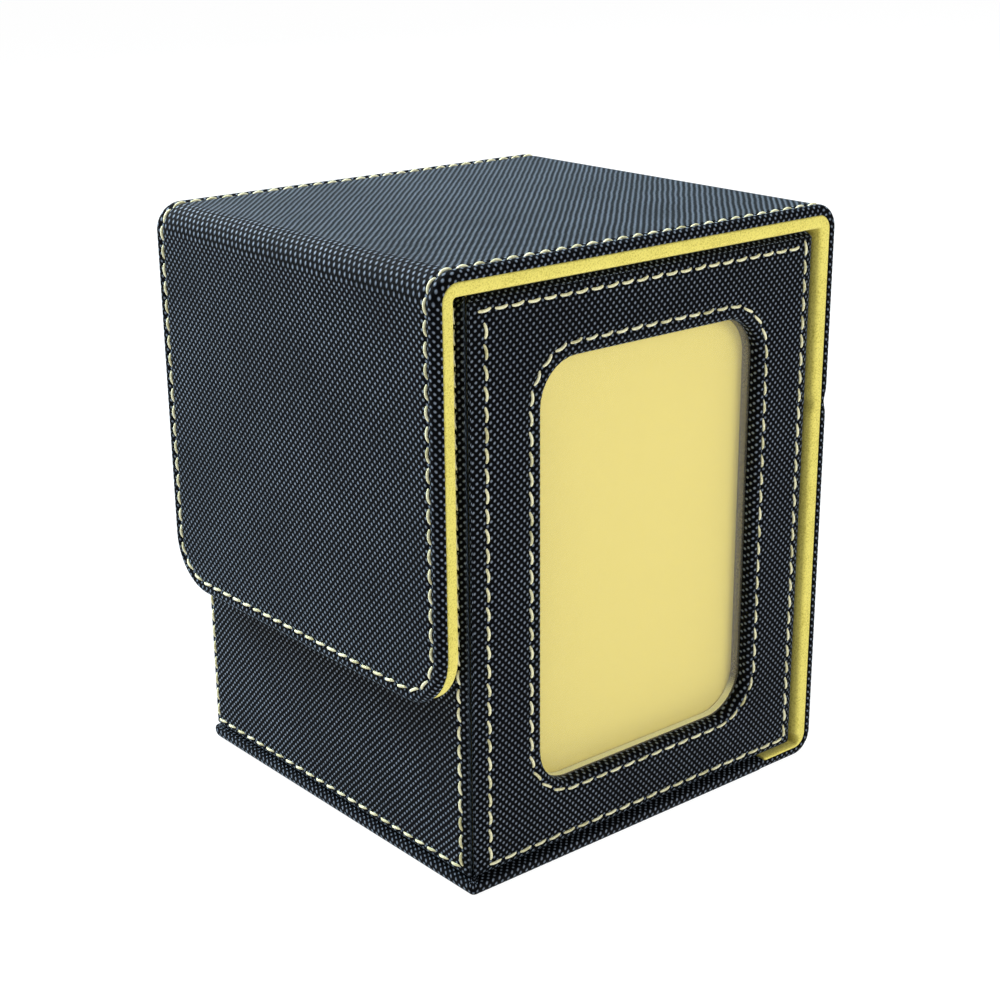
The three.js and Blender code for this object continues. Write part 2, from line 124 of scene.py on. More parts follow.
class Graph:
    """Adds and links the nodes of one material."""

    def __init__(self, name: str) -> None:
        """Starts a material with an empty tree.

        Args:
            name: The material's name.
        """
        self.material = bpy.data.materials.new(name)
        self.material.use_nodes = True
        self.tree = self.material.node_tree
        self.tree.nodes.clear()

    def node(self, kind: str, inputs: Optional[dict] = None, **settings: object) -> bpy.types.Node:
        """Adds a node.

        Args:
            kind: Blender's name for the type of node.
            inputs: Values or output sockets, by input name or number.
            **settings: The node's own properties.

        Returns:
            The new node.
        """
        made = self.tree.nodes.new(kind)
        for name, value in settings.items():
            setattr(made, name, value)
        for key, value in (inputs or {}).items():
            if isinstance(value, bpy.types.NodeSocket):
                self.tree.links.new(value, made.inputs[key])
            else:
                made.inputs[key].default_value = value
        return made

    def math(self, operation: str, first: object, second: object = 0.0) -> bpy.types.NodeSocket:
        """Adds a Math node.

        Args:
            operation: Its operation, such as MULTIPLY.
            first: A number or an output socket.
            second: A number or an output socket.

        Returns:
            The result's socket.
        """
        return self.node("ShaderNodeMath", {0: first, 1: second}, operation=operation).outputs[0]

    def wave(self, angle: object) -> bpy.types.NodeSocket:
        """Adds a cosine between 0 and 1.

        Args:
            angle: The angle's socket.

        Returns:
            The wave's socket.
        """
        raised = self.math("MULTIPLY_ADD", self.math("COSINE", angle), 0.5)
        raised.node.inputs[2].default_value = 0.5
        return raised

    def ramp(self, value: object, low: float, high: float, to_low: float = 0.0,
             to_high: float = 1.0) -> bpy.types.NodeSocket:
        """Maps a range to another with soft ends.

        Args:
            value: The socket to map.
            low: Where the result starts to rise.
            high: Where it stops.
            to_low: The result at low.
            to_high: The result at high.

        Returns:
            The result's socket.
        """
        inputs = {"Value": value, 1: low, 2: high, 3: to_low, 4: to_high}
        return self.node("ShaderNodeMapRange", inputs, interpolation_type="SMOOTHSTEP").outputs[0]

    def mix(self, amount: object, first: object, second: object) -> bpy.types.NodeSocket:
        """Mixes two colours.

        Args:
            amount: How much of the second.
            first: A colour or a socket.
            second: A colour or a socket.

        Returns:
            The mixed colour's socket.
        """
        inputs = {0: amount, 6: first, 7: second}
        return self.node("ShaderNodeMix", inputs, data_type="RGBA").outputs[2]

    def noise(self, where: object, scale: float, detail: float = 3.0,
              roughness: float = 0.55) -> bpy.types.NodeSocket:
        """Adds a noise.

        Args:
            where: The coordinates' socket.
            scale: Features in each metre.
            detail: Octaves.
            roughness: How strong the fine octaves are.

        Returns:
            The noise's value, from 0 to 1.
        """
        inputs = {"Vector": where, "Scale": scale, "Detail": detail, "Roughness": roughness}
        return self.node("ShaderNodeTexNoise", inputs).outputs[0]

    def position(self) -> bpy.types.NodeSocket:
        """Returns the Object coordinates' socket."""
        return self.node("ShaderNodeTexCoord").outputs["Object"]

    def bump(self, height: object, distance: float, strength: float = 1.0,
             under: Optional[bpy.types.NodeSocket] = None) -> bpy.types.NodeSocket:
        """Adds a bump.

        Args:
            height: The height's socket, from 0 to 1.
            distance: The real height of 1, in metres.
            strength: How much of it to show.
            under: A normal that it adds to.

        Returns:
            The normal's socket.
        """
        inputs = {"Height": height, "Distance": distance, "Strength": strength}
        if under is not None:
            inputs["Normal"] = under
        return self.node("ShaderNodeBump", inputs).outputs[0]

    def surface(self, inputs: dict) -> bpy.types.Material:
        """Ends the tree in one shader.

        Args:
            inputs: The Principled BSDF's inputs.

        Returns:
            The finished material.
        """
        shader = self.node("ShaderNodeBsdfPrincipled", inputs)
        self.node("ShaderNodeOutputMaterial", {"Surface": shader.outputs[0]})
        return self.material


@dataclass(frozen=True)
class Leatherette:
    """Black embossed leatherette: raised threads on a square lattice turned by 45 degrees. Its colour holds
    painted shade in the hollows and a painted highlight on the raised threads.
    """

    name: str = "leatherette"
    pitch: float = 1.01 * MM
    drift: float = 0.35 * MM
    rib_power: float = 1.35
    run_power: float = 0.8
    thread_height: float = 0.17 * MM
    hand_height: float = 0.35 * MM
    grain_height: float = 0.02 * MM
    # painted shade: the near-black hollows stand for the shade that falls between the raised threads
    painted_hollow_shade: Tone = (0.0006, 0.0008, 0.0014, 1)
    # painted highlight: the bluish grey of the raised threads stands for their gloss under the lights; the
    # leatherette itself is black
    thread: Tone = (0.20, 0.242, 0.305, 1)
    sheen: Tone = (0.62, 0.83, 1.0, 1)

    def make(self) -> bpy.types.Material:
        """Returns the material, with its pattern on the cloth's own UV."""
        g = Graph(self.name)
        cloth = g.node("ShaderNodeUVMap", uv_map=CLOTH_UV).outputs[0]
        wander = g.noise(cloth, 130, 2)
        split = g.node("ShaderNodeSeparateXYZ", {0: cloth})
        shift = g.math("MULTIPLY", g.math("SUBTRACT", wander, 0.5), self.drift)
        length = g.math("ADD", split.outputs[0], shift)
        width = g.math("SUBTRACT", split.outputs[1], shift)
        turn = 2 * math.pi / (math.sqrt(2) * self.pitch)
        along = g.math("MULTIPLY", g.math("ADD", length, width), turn)
        across = g.math("MULTIPLY", g.math("SUBTRACT", length, width), turn)
        rib = g.math("POWER", g.wave(across), self.rib_power)
        height = g.math("MULTIPLY", rib, g.math("POWER", g.wave(along), self.run_power))
        # random patches that make the painted highlight stronger or weaker
        highlight_patchiness = g.ramp(g.noise(cloth, 45, 4, 0.6), 0.3, 0.7, 0.78, 1.15)
        grain = g.ramp(g.noise(cloth, 2600, 2), 0.25, 0.75, 0.8, 1.1)
        # painted light mask: 0 gives the painted shade of the hollows, 1 the painted highlight of the raised
        # threads
        painted_highlight_mask = g.math("MULTIPLY", g.ramp(height, 0.22, 1.0), g.math("MULTIPLY", highlight_patchiness, grain))
        colour = g.mix(painted_highlight_mask, self.painted_hollow_shade, self.thread)
        hand = g.bump(g.noise(cloth, 60, 3), self.hand_height, 0.5)
        fine = g.bump(g.noise(cloth, 3200, 2), self.grain_height, 0.6, hand)
        return g.surface({
            "Base Color": colour,
            "Roughness": g.ramp(height, 0.2, 0.9, 0.8, 0.36),
            "Specular IOR Level": 0.055,
            "Sheen Weight": 0.32,
            "Sheen Roughness": 0.18,
            "Sheen Tint": self.sheen,
            "Normal": g.bump(height, self.thread_height, 1.0, fine),
        })


@dataclass(frozen=True)
class Suede:
    """Yellow microfibre suede with a short brushed nap."""

    name: str = "yellow_suede"
    colour: Tone = (0.90, 0.79, 0.19, 1)
    shade: Tone = (0.62, 0.52, 0.085, 1)
    sheen: Tone = (1.0, 0.93, 0.55, 1)
    nap_share: float = 0.85
    nap_height: float = 0.16 * MM

    def make(self) -> bpy.types.Material:
        """Returns the material."""
        g = Graph(self.name)
        where = g.position()
        nap = g.noise(where, 3000, 3, 0.7)
        brushed = g.noise(where, 220, 2)
        broad = g.math("MULTIPLY", brushed, 1 - self.nap_share)
        depth = g.math("ADD", g.math("MULTIPLY", nap, self.nap_share), broad)
        colour = g.mix(g.ramp(depth, 0.34, 0.56), self.shade, self.colour)
        return g.surface({
            "Base Color": colour,
            "Roughness": 0.95,
            "Specular IOR Level": 0.12,
            "Sheen Weight": 0.35,
            "Sheen Roughness": 0.45,
            "Sheen Tint": self.sheen,
            "Normal": g.bump(nap, self.nap_height, 0.8),
        })


@dataclass(frozen=True)
class RimFelt:
    """Yellow felt round the window, with painted light chosen by the surface's direction: a painted
    highlight, bright pale yellow, where it faces up, and painted shade, dark olive, on its steep and downward
    faces.
    """

    name: str = "rim_felt"
    # painted highlight: the pale yellow of faces that look up stands for the light falling on them
    bright: Tone = (0.99, 0.97, 0.56, 1)
    # painted shade: the dark olive of the other faces stands for the shade on them
    painted_shade_olive: Tone = (0.10, 0.085, 0.035, 1)
    # painted shade: lighter flecks of nap within the shaded faces
    painted_shade_fleck: Tone = (0.22, 0.19, 0.07, 1)
    nap_height: float = 0.1 * MM

    def make(self) -> bpy.types.Material:
        """Returns the material."""
        g = Graph(self.name)
        facing = g.node("ShaderNodeSeparateXYZ", {0: g.node("ShaderNodeTexCoord").outputs["Normal"]})
        nap = g.noise(g.position(), 2600, 3, 0.7)
        painted_shade_speckle = g.mix(g.ramp(nap, 0.4, 0.62), self.painted_shade_olive, self.painted_shade_fleck)
        return g.surface({
            # painted light: the object-space normal's Z picks the painted highlight for faces that look up
            # and the painted shade for the rest
            "Base Color": g.mix(g.ramp(facing.outputs[2], 0.2, 0.7), painted_shade_speckle, self.bright),
            "Roughness": 0.95,
            "Specular IOR Level": 0.1,
            "Normal": g.bump(nap, self.nap_height, 0.6),
        })


@dataclass(frozen=True)
class Thread:
    """Pale yellow sewing thread."""

    name: str = "yellow_thread"
    colour: Tone = (0.93, 0.89, 0.58, 1)
    shade: Tone = (0.55, 0.51, 0.25, 1)
    fibre_height: float = 0.06 * MM

    def make(self) -> bpy.types.Material:
        """Returns the material."""
        g = Graph(self.name)
        where = g.position()
        fibres = g.noise(where, 2600, 3, 0.6)
        tone = g.noise(where, 170, 2)
        colour = g.mix(g.ramp(g.math("MULTIPLY", fibres, tone), 0.12, 0.3), self.shade, self.colour)
        return g.surface({
            "Base Color": colour,
            "Roughness": 0.6,
            "Specular IOR Level": 0.35,
            "Sheen Weight": 0.2,
            "Normal": g.bump(fibres, self.fibre_height, 0.7),
        })


@dataclass(frozen=True)
class Card:
    """Printed card or board: a plain tone with a faint fibre in it."""

    name: str
    colour: Tone
    shade: Tone
    roughness: float = 0.8
    fibre_height: float = 0.02 * MM

    def make(self) -> bpy.types.Material:
        """Returns the material."""
        g = Graph(self.name)
        fibre = g.noise(g.position(), 900, 4, 0.65)
        colour = g.mix(g.ramp(fibre, 0.3, 0.65), self.shade, self.colour)
        return g.surface({
            "Base Color": colour,
            "Roughness": self.roughness,
            "Specular IOR Level": 0.25,
            "Normal": g.bump(fibre, self.fibre_height, 0.6),
        })


@dataclass(frozen=True)
class Plated:
    """Nickel-plated metal with fine turning marks."""

    name: str = "nickel_plate"
    dull: Tone = (0.55, 0.56, 0.58, 1)
    bright: Tone = (0.78, 0.79, 0.8, 1)
    mark_depth: float = 0.01 * MM

    def make(self) -> bpy.types.Material:
        """Returns the material."""
        g = Graph(self.name)
        marks = g.noise(g.position(), 700, 3)
        return g.surface({
            "Base Color": g.mix(marks, self.dull, self.bright),
            "Metallic": 1.0,
            "Roughness": g.ramp(marks, 0.3, 0.7, 0.22, 0.38),
            "Normal": g.bump(marks, self.mark_depth, 0.5),
        })


@dataclass(frozen=True)
class ClearFilm:
    """Clear plastic film, with a faint ripple."""

    name: str = "clear_film"
    cloudy: Tone = (0.95, 0.96, 0.95, 1)
    clear: Tone = (1, 1, 1, 1)
    opacity: float = 0.06
    ripple_height: float = 0.05 * MM

    def make(self) -> bpy.types.Material:
        """Returns the material."""
        g = Graph(self.name)
        ripple = g.noise(g.position(), 30, 2)
        return g.surface({
            "Base Color": g.mix(ripple, self.cloudy, self.clear),
            "Roughness": 0.08,
            "Specular IOR Level": 0.5,
            "Alpha": self.opacity,
            "Normal": g.bump(ripple, self.ripple_height, 0.4),
        })


@dataclass(frozen=True)
class PaleFloor:
    """A plain white floor that glows softly, so that it stays white to the horizon."""

    name: str = "pale_floor"
    dim: Tone = (0.12, 0.12, 0.12, 1)
    pale: Tone = (0.14, 0.14, 0.14, 1)
    glow: float = 0.96

    def make(self) -> bpy.types.Material:
        """Returns the material."""
        g = Graph(self.name)
        return g.surface({
            "Base Color": g.mix(g.noise(g.position(), 3, 2), self.dim, self.pale),
            "Roughness": 0.9,
            "Specular IOR Level": 0.1,
            "Emission Color": (1, 1, 1, 1),
            "Emission Strength": self.glow,
        })


class Finishes:
    """Every material of the object, made once."""

    def __init__(self) -> None:
        """Makes the materials."""
        self.leatherette = Leatherette().make()
        self.suede = Suede().make()
        self.rim_felt = RimFelt().make()
        self.thread = Thread().make()
        self.grey_board = Card("grey_board", (0.42, 0.39, 0.34, 1), (0.27, 0.25, 0.22, 1), 0.9).make()
        self.insert_card = Card("insert_card", (0.875, 0.73, 0.16, 1), (0.86, 0.715, 0.15, 1), 0.8).make()
        self.magnet = Plated().make()
        self.clear_pane = ClearFilm().make()
        self.floor = PaleFloor().make()


# ---------------------------------------------------------------------------
# Outlines and surfaces


def arc(steps: int) -> list[float]:
    """Returns steps + 1 angles from 0 to a quarter turn."""
    return [QUARTER * i / steps for i in range(steps + 1)]


def smooth(t: float) -> float:
    """Returns a soft step from 0 to 1 as t goes from 0 to 1."""
    t = min(1.0, max(0.0, t))
    return t * t * (3 - 2 * t)


def spread(low: float, high: float, step: float) -> list[float]:
    """Divides a length evenly.

    Args:
        low: Where it starts.
        high: Where it ends.
        step: The longest gap between two values.

    Returns:
        The values, both ends among them.
    """
    count = max(1, math.ceil(abs(high - low) / step))
    return [low + (high - low) * i / count for i in range(count + 1)]


@dataclass(frozen=True)
class Stretch:
    """A straight or rounded part of the cover's seam line, in the X-Z plane."""

    x: float
    z: float
    heading: float
    length: float
    radius: float = 0.0

    def at(self, t: float) -> tuple[Pair, Pair]:
        """Finds a point along the stretch.

        Args:
            t: The distance from its start.

        Returns:
            The point and the outward normal there, each as (x, z).
        """
        if not self.radius:
            c, s = math.cos(self.heading), math.sin(self.heading)
            return (self.x + c * t, self.z + s * t), (-s, c)
        start_normal = (-math.sin(self.heading), math.cos(self.heading))
        centre = (self.x - start_normal[0] * self.radius, self.z - start_normal[1] * self.radius)
        heading = self.heading - t / self.radius
        normal = (-math.sin(heading), math.cos(heading))
        return (centre[0] + normal[0] * self.radius, centre[1] + normal[1] * self.radius), normal


class CoverPath:
    """The line between the cover's leatherette and its lining, from the flap's free edge to the base's."""

    guard: float = 0.4 * MM
    fine_step: float = 0.4 * MM
    curved_step: float = 0.35 * MM
    flat_step: float = 2.5 * MM
    tolerance: float = 1e-9

    def __init__(self) -> None:
        """Follows the cover's CAD nodes."""
        flap_low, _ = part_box("flap_lining")
        _, lid_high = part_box("lid_lining")
        _, back_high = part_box("lower_back_lining")
        bend_low, bend_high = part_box("flap_bend_lining")
        turn_low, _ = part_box("lid_bend_lining")
        heel_low, heel_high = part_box("heel_lining")
        base_low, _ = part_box("base_leather")
        self.flap_x = flap_low.x
        flap_bend = bend_high.x - self.flap_x
        lid_bend = lid_high.z - turn_low.z
        heel_bend = heel_high.z - heel_low.z
        plan = [
            ("flap", bend_low.z - flap_low.z, 0.0),
            ("flap_bend", QUARTER * flap_bend, flap_bend),
            ("lid", turn_low.x - bend_high.x, 0.0),
            ("lid_bend", QUARTER * lid_bend, lid_bend),
            ("back", turn_low.z - heel_high.z, 0.0),
            ("heel", QUARTER * heel_bend, heel_bend),
            ("base", back_high.x - heel_bend - base_low.x, 0.0),
        ]
        self.stretches: dict[str, Stretch] = {}
        self.starts: dict[str, float] = {}
        x, z, heading, s = self.flap_x, flap_low.z, QUARTER, 0.0
        for name, length, radius in plan:
            stretch = Stretch(x, z, heading, length, radius)
            self.starts[name] = s
            self.stretches[name] = stretch
            (x, z), _ = stretch.at(length)
            heading -= length / radius if radius else 0.0
            s += length
        self.length = s
        self.ends = dict(zip(self.starts, [*list(self.starts.values())[1:], s]))

    def parts(self) -> list[tuple[Stretch, float]]:
        """Returns each stretch with its distance from the flap's free edge."""
        return list(zip(self.stretches.values(), self.starts.values()))

    def at(self, s: float) -> tuple[Pair, Pair]:
        """Finds a point on the line.

        Args:
            s: The distance from the flap's free edge.

        Returns:
            The point and the outward normal, each as (x, z).
        """
        stretch, start = next(
            (stretch, start) for stretch, start in reversed(self.parts()) if s >= start or start == 0.0
        )
        return stretch.at(s - start)

    def back_at(self, z: float) -> float:
        """Returns how far along the line the back's height z is."""
        return self.starts["back"] + self.stretches["back"].z - z

    def base_at(self, x: float) -> float:
        """Returns how far along the line the base's position x is."""
        return self.starts["base"] + self.stretches["base"].x - x

    def stations(self, low: float, high: float, fine: Sequence[Pair] = ()) -> list[float]:
        """Chooses where the cover gets a row of points.

        Args:
            low: The first station.
            high: The last.
            fine: Ranges that need close rows.

        Returns:
            The stations in order.
        """
        marks = {low, high}
        for stretch, start in self.parts():
            end = start + stretch.length
            marks.update(s for s in (start - self.guard, start, end, end + self.guard) if low < s < high)
        for first, last in fine:
            marks.update(s for s in spread(first, last, self.fine_step) if low < s < high)
        rows: list[float] = []
        ordered = sorted(marks)
        for first, last in zip(ordered, ordered[1:]):
            curved = any(
                part.radius
                and start - self.tolerance <= first
                and last <= start + part.length + self.tolerance
                for part, start in self.parts()
            )
            rows += spread(first, last, self.curved_step if curved else self.flat_step)[:-1]
        return [*rows, high]


@dataclass(frozen=True)
class Edge:
    """The section of a turned edge, from the middle of the show face round to the middle of the seam face."""

    roll: float
    hem_roll: float
    hem: float
    skin: float
    stitch_inset: float = 0.0
    groove: float = 0.0
    crown: float = 0.0
    field: float = 5.0 * MM
    lip: float = 0.0
    lip_thickness: float = 0.04 * MM
    groove_width: float = 0.55 * MM
    swell_width: float = 0.75 * MM
    swell_share: float = 0.48
    flank: float = 1.8 * MM
    rail_step: float = 0.24 * MM
    pocket_slope: float = 0.02 * MM
    roll_steps: int = 6
    hem_steps: int = 4

    def show_face(self, d: float) -> float:
        """Measures the show face's groove and its padded border.

        Args:
            d: The distance from the edge.

        Returns:
            How far below the flat it lies.
        """
        if not self.stitch_inset:
            return 0.0
        near = (d - self.stitch_inset) / self.groove_width
        swell = math.exp(-(((d - self.stitch_inset * self.swell_share) / self.swell_width) ** 2))
        return self.groove * math.exp(-near * near) - self.crown * swell

    def rails(self, thickness: float) -> list[Pair]:
        """Lists the section's points.

        Args:
            thickness: The ply's full thickness.

        Returns:
            (inset, height above the seam face) for each rail, from the show face's middle.
        """
        points = [(self.field + GUARD, thickness), (self.field, thickness)]
        if self.stitch_inset:
            for d in spread(self.stitch_inset + self.flank, self.roll, self.rail_step):
                points.append((d, thickness - self.show_face(d)))
        else:
            points.append((self.roll, thickness))
        drop = self.show_face(self.roll)
        for angle in arc(self.roll_steps)[1:]:
            inset = self.roll * (1 - math.sin(angle))
            points.append((inset, thickness - drop * math.cos(angle) - self.roll * (1 - math.cos(angle))))
        for angle in arc(self.hem_steps):
            points.append((self.hem_roll * (1 - math.cos(angle)), self.hem_roll * (1 - math.sin(angle))))
        points.append((self.hem + self.lip, 0.0))
        if self.lip:
            points.append((self.hem + self.lip, self.lip_thickness))
            points.append((self.hem, self.lip_thickness))
        points.append((self.hem + self.pocket_slope, thickness - self.skin))
        return points


def lengths_along(rails: Sequence[Pair]) -> list[float]:
    """Measures a section, so that the weave wraps round it.

    Args:
        rails: The section's (inset, height) points.

    Returns:
        The inset that each rail would have if the section were laid flat.
    """
    flat = [rails[0][0]]
    for (d0, h0), (d1, h1) in zip(rails, rails[1:]):
        flat.append(flat[-1] - math.hypot(d1 - d0, h1 - h0))
    return flat


class Shell:
    """Collects a closed mesh from rows of points, with the cloth's own coordinates."""

    merge: float = 1e-6
    sharp: float = math.radians(42)

    def __init__(self) -> None:
        """Starts an empty mesh."""
        self.bm = bmesh.new()
        self.uv = self.bm.loops.layers.uv.new(CLOTH_UV)
        self.cloth: dict[bmesh.types.BMVert, Pair] = {}

    def vert(self, place: Vector, cloth: Pair) -> bmesh.types.BMVert:
        """Adds a point.

        Args:
            place: Where it is.
            cloth: Its place on the flat cloth, in metres.

        Returns:
            The new point.
        """
        made = self.bm.verts.new(place)
        self.cloth[made] = cloth
        return made

    def face(self, corners: Row) -> None:
        """Adds a face.

        Args:
            corners: The points that it goes through, in order.
        """
        made = self.bm.faces.new(corners)
        for loop in made.loops:
            loop[self.uv].uv = self.cloth[loop.vert]

    def rows(self, rows: Sequence[Row], closed: bool, skip: Optional[int] = None) -> None:
        """Joins each row of points to the next.

        Args:
            rows: Rows with the same number of points.
            closed: Whether the last point of a row joins the first.
            skip: A gap in the rows that stays open.
        """
        for upper, lower in zip(rows, rows[1:]):
            count = len(upper) if closed else len(upper) - 1
            for i in range(count):
                if i != skip:
                    k = (i + 1) % len(upper)
                    self.face((upper[i], upper[k], lower[k], lower[i]))

    def ladder(self, row: Row) -> None:
        """Fills between a row's two mirrored halves.

        Args:
            row: The row, with an even number of points.
        """
        last = len(row) - 1
        for i in range(len(row) // 2 - 1):
            self.face((row[i], row[last - i], row[last - i - 1], row[i + 1]))

    def finish(self, name: str, material: bpy.types.Material) -> bpy.types.Object:
        """Closes, smooths and names the mesh.

        Args:
            name: The piece's name.
            material: Its finish.

        Returns:
            The new object.
        """
        bmesh.ops.remove_doubles(self.bm, verts=self.bm.verts, dist=self.merge)
        bmesh.ops.recalc_face_normals(self.bm, faces=self.bm.faces)
        mesh = bpy.data.meshes.new(name)
        self.bm.to_mesh(mesh)
        self.bm.free()
        mesh.shade_smooth()
        mesh.set_sharp_from_angle(angle=self.sharp)
        mesh.materials.append(material)
        return add_object(name, mesh)


@dataclass
class Ply:
    """One sheet of the cover: its half width, thickness and edge, all of which may change along it."""

    path: CoverPath
    edge: Edge
    outward: bool
    half: Callable[[float], float]
    thickness: Callable[[float], float]
    foot: Callable[[float], float]
    groove_at: Callable[[float], float]
    nominal: float
    corner_steps: int = 14

    def place(self, s: float, y: float, height: float) -> Vector:
        """Finds a point of the sheet.

        Args:
            s: The distance along the cover.
            y: The distance across it.
            height: The height above the seam face.

        Returns:
            The point.
        """
        (x, z), (nx, nz) = self.path.at(s)
        full, base = self.thickness(s), self.foot(s)
        scaled = base + (full - base) * height / self.nominal if full != self.nominal or base else height
        scaled -= self.groove_at(s) * max(0.0, height / self.nominal)
        side = scaled if self.outward else -scaled
        return Vector((x + nx * side, y * self.half(s) / self.half(0.0), z + nz * side))

    def rail(self, d: float, low: float, high: float, radius: Optional[float], at_start: bool,
             stations: Sequence[float]) -> list[Pair]:
        """Lists a rail's points.

        Args:
            d: The rail's distance from the sheet's edge.
            low: Where the sheet's piece starts.
            high: Where it ends.
            radius: The corner radius of its free end, if it has one.
            at_start: Whether the free end is the first.
            stations: Rows between the ends.

        Returns:
            (s, y) for each point: along one side, round the free end and back along the other.
        """
        half = self.half(0.0)
        if radius is None:
            side = [(s, half - d) for s in stations]
            return side + [(s, -y) for s, y in reversed(side)]
        bend = max(radius - d, 0.0)
        tip, inward = (low, 1) if at_start else (high, -1)
        centre_s, centre_y = tip + inward * (d + bend), half - d - bend
        order = list(reversed(stations)) if at_start else list(stations)
        side = [(s, half - d) for s in order]
        side += [
            (centre_s - inward * bend * math.sin(a), centre_y + bend * math.cos(a))
            for a in arc(self.corner_steps)
        ]
        return side + [(s, -y) for s, y in reversed(side)]

    def piece(self, name: str, material: bpy.types.Material, low: float, high: float,
              radius: Optional[float] = None, at_start: bool = True,
              fine: Sequence[Pair] = ()) -> bpy.types.Object:
        """Makes the stretch of the sheet between two cuts, or between a cut and its free end.

        Args:
            name: The piece's name.
            material: Its finish.
            low: Where it starts.
            high: Where it ends.
            radius: The corner radius of its free end, if it has one.
            at_start: Whether the free end is the first.
            fine: Ranges that need close rows.

        Returns:
            The new object.
        """
        reach = 0.0 if radius is None else max(radius, self.edge.field + GUARD) + CLEARANCE
        first, last = (low + reach, high) if at_start else (low, high - reach)
        stations = self.path.stations(first, last, fine)
        section = self.edge.rails(self.nominal)
        shell = Shell()
        grid = []
        for (d, height), laid in zip(section, lengths_along(section)):
            points = self.rail(d, low, high, radius, at_start, stations)
            cloth = self.rail(laid, low, high, radius, at_start, stations)
            grid.append([shell.vert(self.place(s, y, height), uv) for (s, y), uv in zip(points, cloth)])
        middle = len(grid[0]) // 2 - 1
        shell.rows(grid, closed=False, skip=middle if radius is None else None)
        shell.ladder(grid[0])
        shell.ladder(grid[-1])
        shell.face([row[0] for row in grid] + [row[-1] for row in reversed(grid)])
        if radius is None:
            shell.face([row[middle] for row in grid] + [row[middle + 1] for row in reversed(grid)])
        return shell.finish(name, material)

    def seam(self, low: float, high: float, radius: Optional[float] = None) -> list[list[SeamPoint]]:
        """Finds where the sheet's stitches run.

        Args:
            low: Where the sheet's piece starts.
            high: Where it ends.
            radius: The corner radius of its free end, the first, if it has one.

        Returns:
            Lines of (point, outward normal).
        """
        reach = 0.0 if radius is None else radius + CLEARANCE
        stations = self.path.stations(low + reach, high)
        points = self.rail(self.edge.stitch_inset, low, high, radius, True, stations)
        height = self.nominal - self.edge.groove
        line = [(self.place(s, y, height), self.normal(s)) for s, y in points]
        if radius is None:
            return [line[: len(line) // 2], line[len(line) // 2:]]
        return [line]

    def normal(self, s: float) -> Vector:
        """Returns the sheet's outward normal at s."""
        _, (nx, nz) = self.path.at(s)
        return Vector((nx, 0.0, nz)) if self.outward else Vector((-nx, 0.0, -nz))


@dataclass(frozen=True)
class Rectangle:
    """A rounded rectangle in a panel's own plane. Its sides may draw their rails closer or wider."""

    low: Pair
    high: Pair
    radius: float
    shares: tuple[float, float, float, float] = (1.0, 1.0, 1.0, 1.0)
    outwards: bool = False
    corner_steps: int = 8

    def loop(self, d: float, step: float = 3.0 * MM) -> list[Pair]:
        """Lists the points of a rail.

        Args:
            d: Its distance inside the outline, or outside it for an opening.
            step: The longest gap on a straight side.

        Returns:
            The rail's points, the same number for each d.
        """
        left, right, bottom, top = (d * share * (-1 if self.outwards else 1) for share in self.shares)
        x0, x1 = self.low[0] + left, self.high[0] - right
        y0, y1 = self.low[1] + bottom, self.high[1] - top
        bend = max(self.radius + (d if self.outwards else -d), 0.0)
        across = max(2, math.ceil((self.high[0] - self.low[0]) / step))
        upward = max(2, math.ceil((self.high[1] - self.low[1]) / step))
        corners = [
            (x1 - bend, y0 + bend, -QUARTER, upward),
            (x1 - bend, y1 - bend, 0.0, across),
            (x0 + bend, y1 - bend, QUARTER, upward),
            (x0 + bend, y0 + bend, 2 * QUARTER, across),
        ]
        points: list[Pair] = []
        for k, (cx, cy, start, count) in enumerate(corners):
            turned = [
                (cx + bend * math.cos(start + a), cy + bend * math.sin(start + a))
                for a in arc(self.corner_steps)
            ]
            nx, ny, nstart, _ = corners[(k + 1) % 4]
            target = (nx + bend * math.cos(nstart), ny + bend * math.sin(nstart))
            last = turned[-1]
            points += turned
            for i in range(1, count):
                t = i / count
                points.append((last[0] + (target[0] - last[0]) * t, last[1] + (target[1] - last[1]) * t))
        return points


@dataclass(frozen=True)
class Plane:
    """The plane of a flat panel: its seam face, its two directions and its outward normal."""

    origin: Vector
    right: Vector
    up: Vector
    out: Vector

    def place(self, u: float, v: float, height: float) -> Vector:
        """Finds a point.

        Args:
            u: The distance along right.
            v: The distance along up.
            height: The height above the seam face.

        Returns:
            The point.
        """
        return self.origin + self.right * u + self.up * v + self.out * height


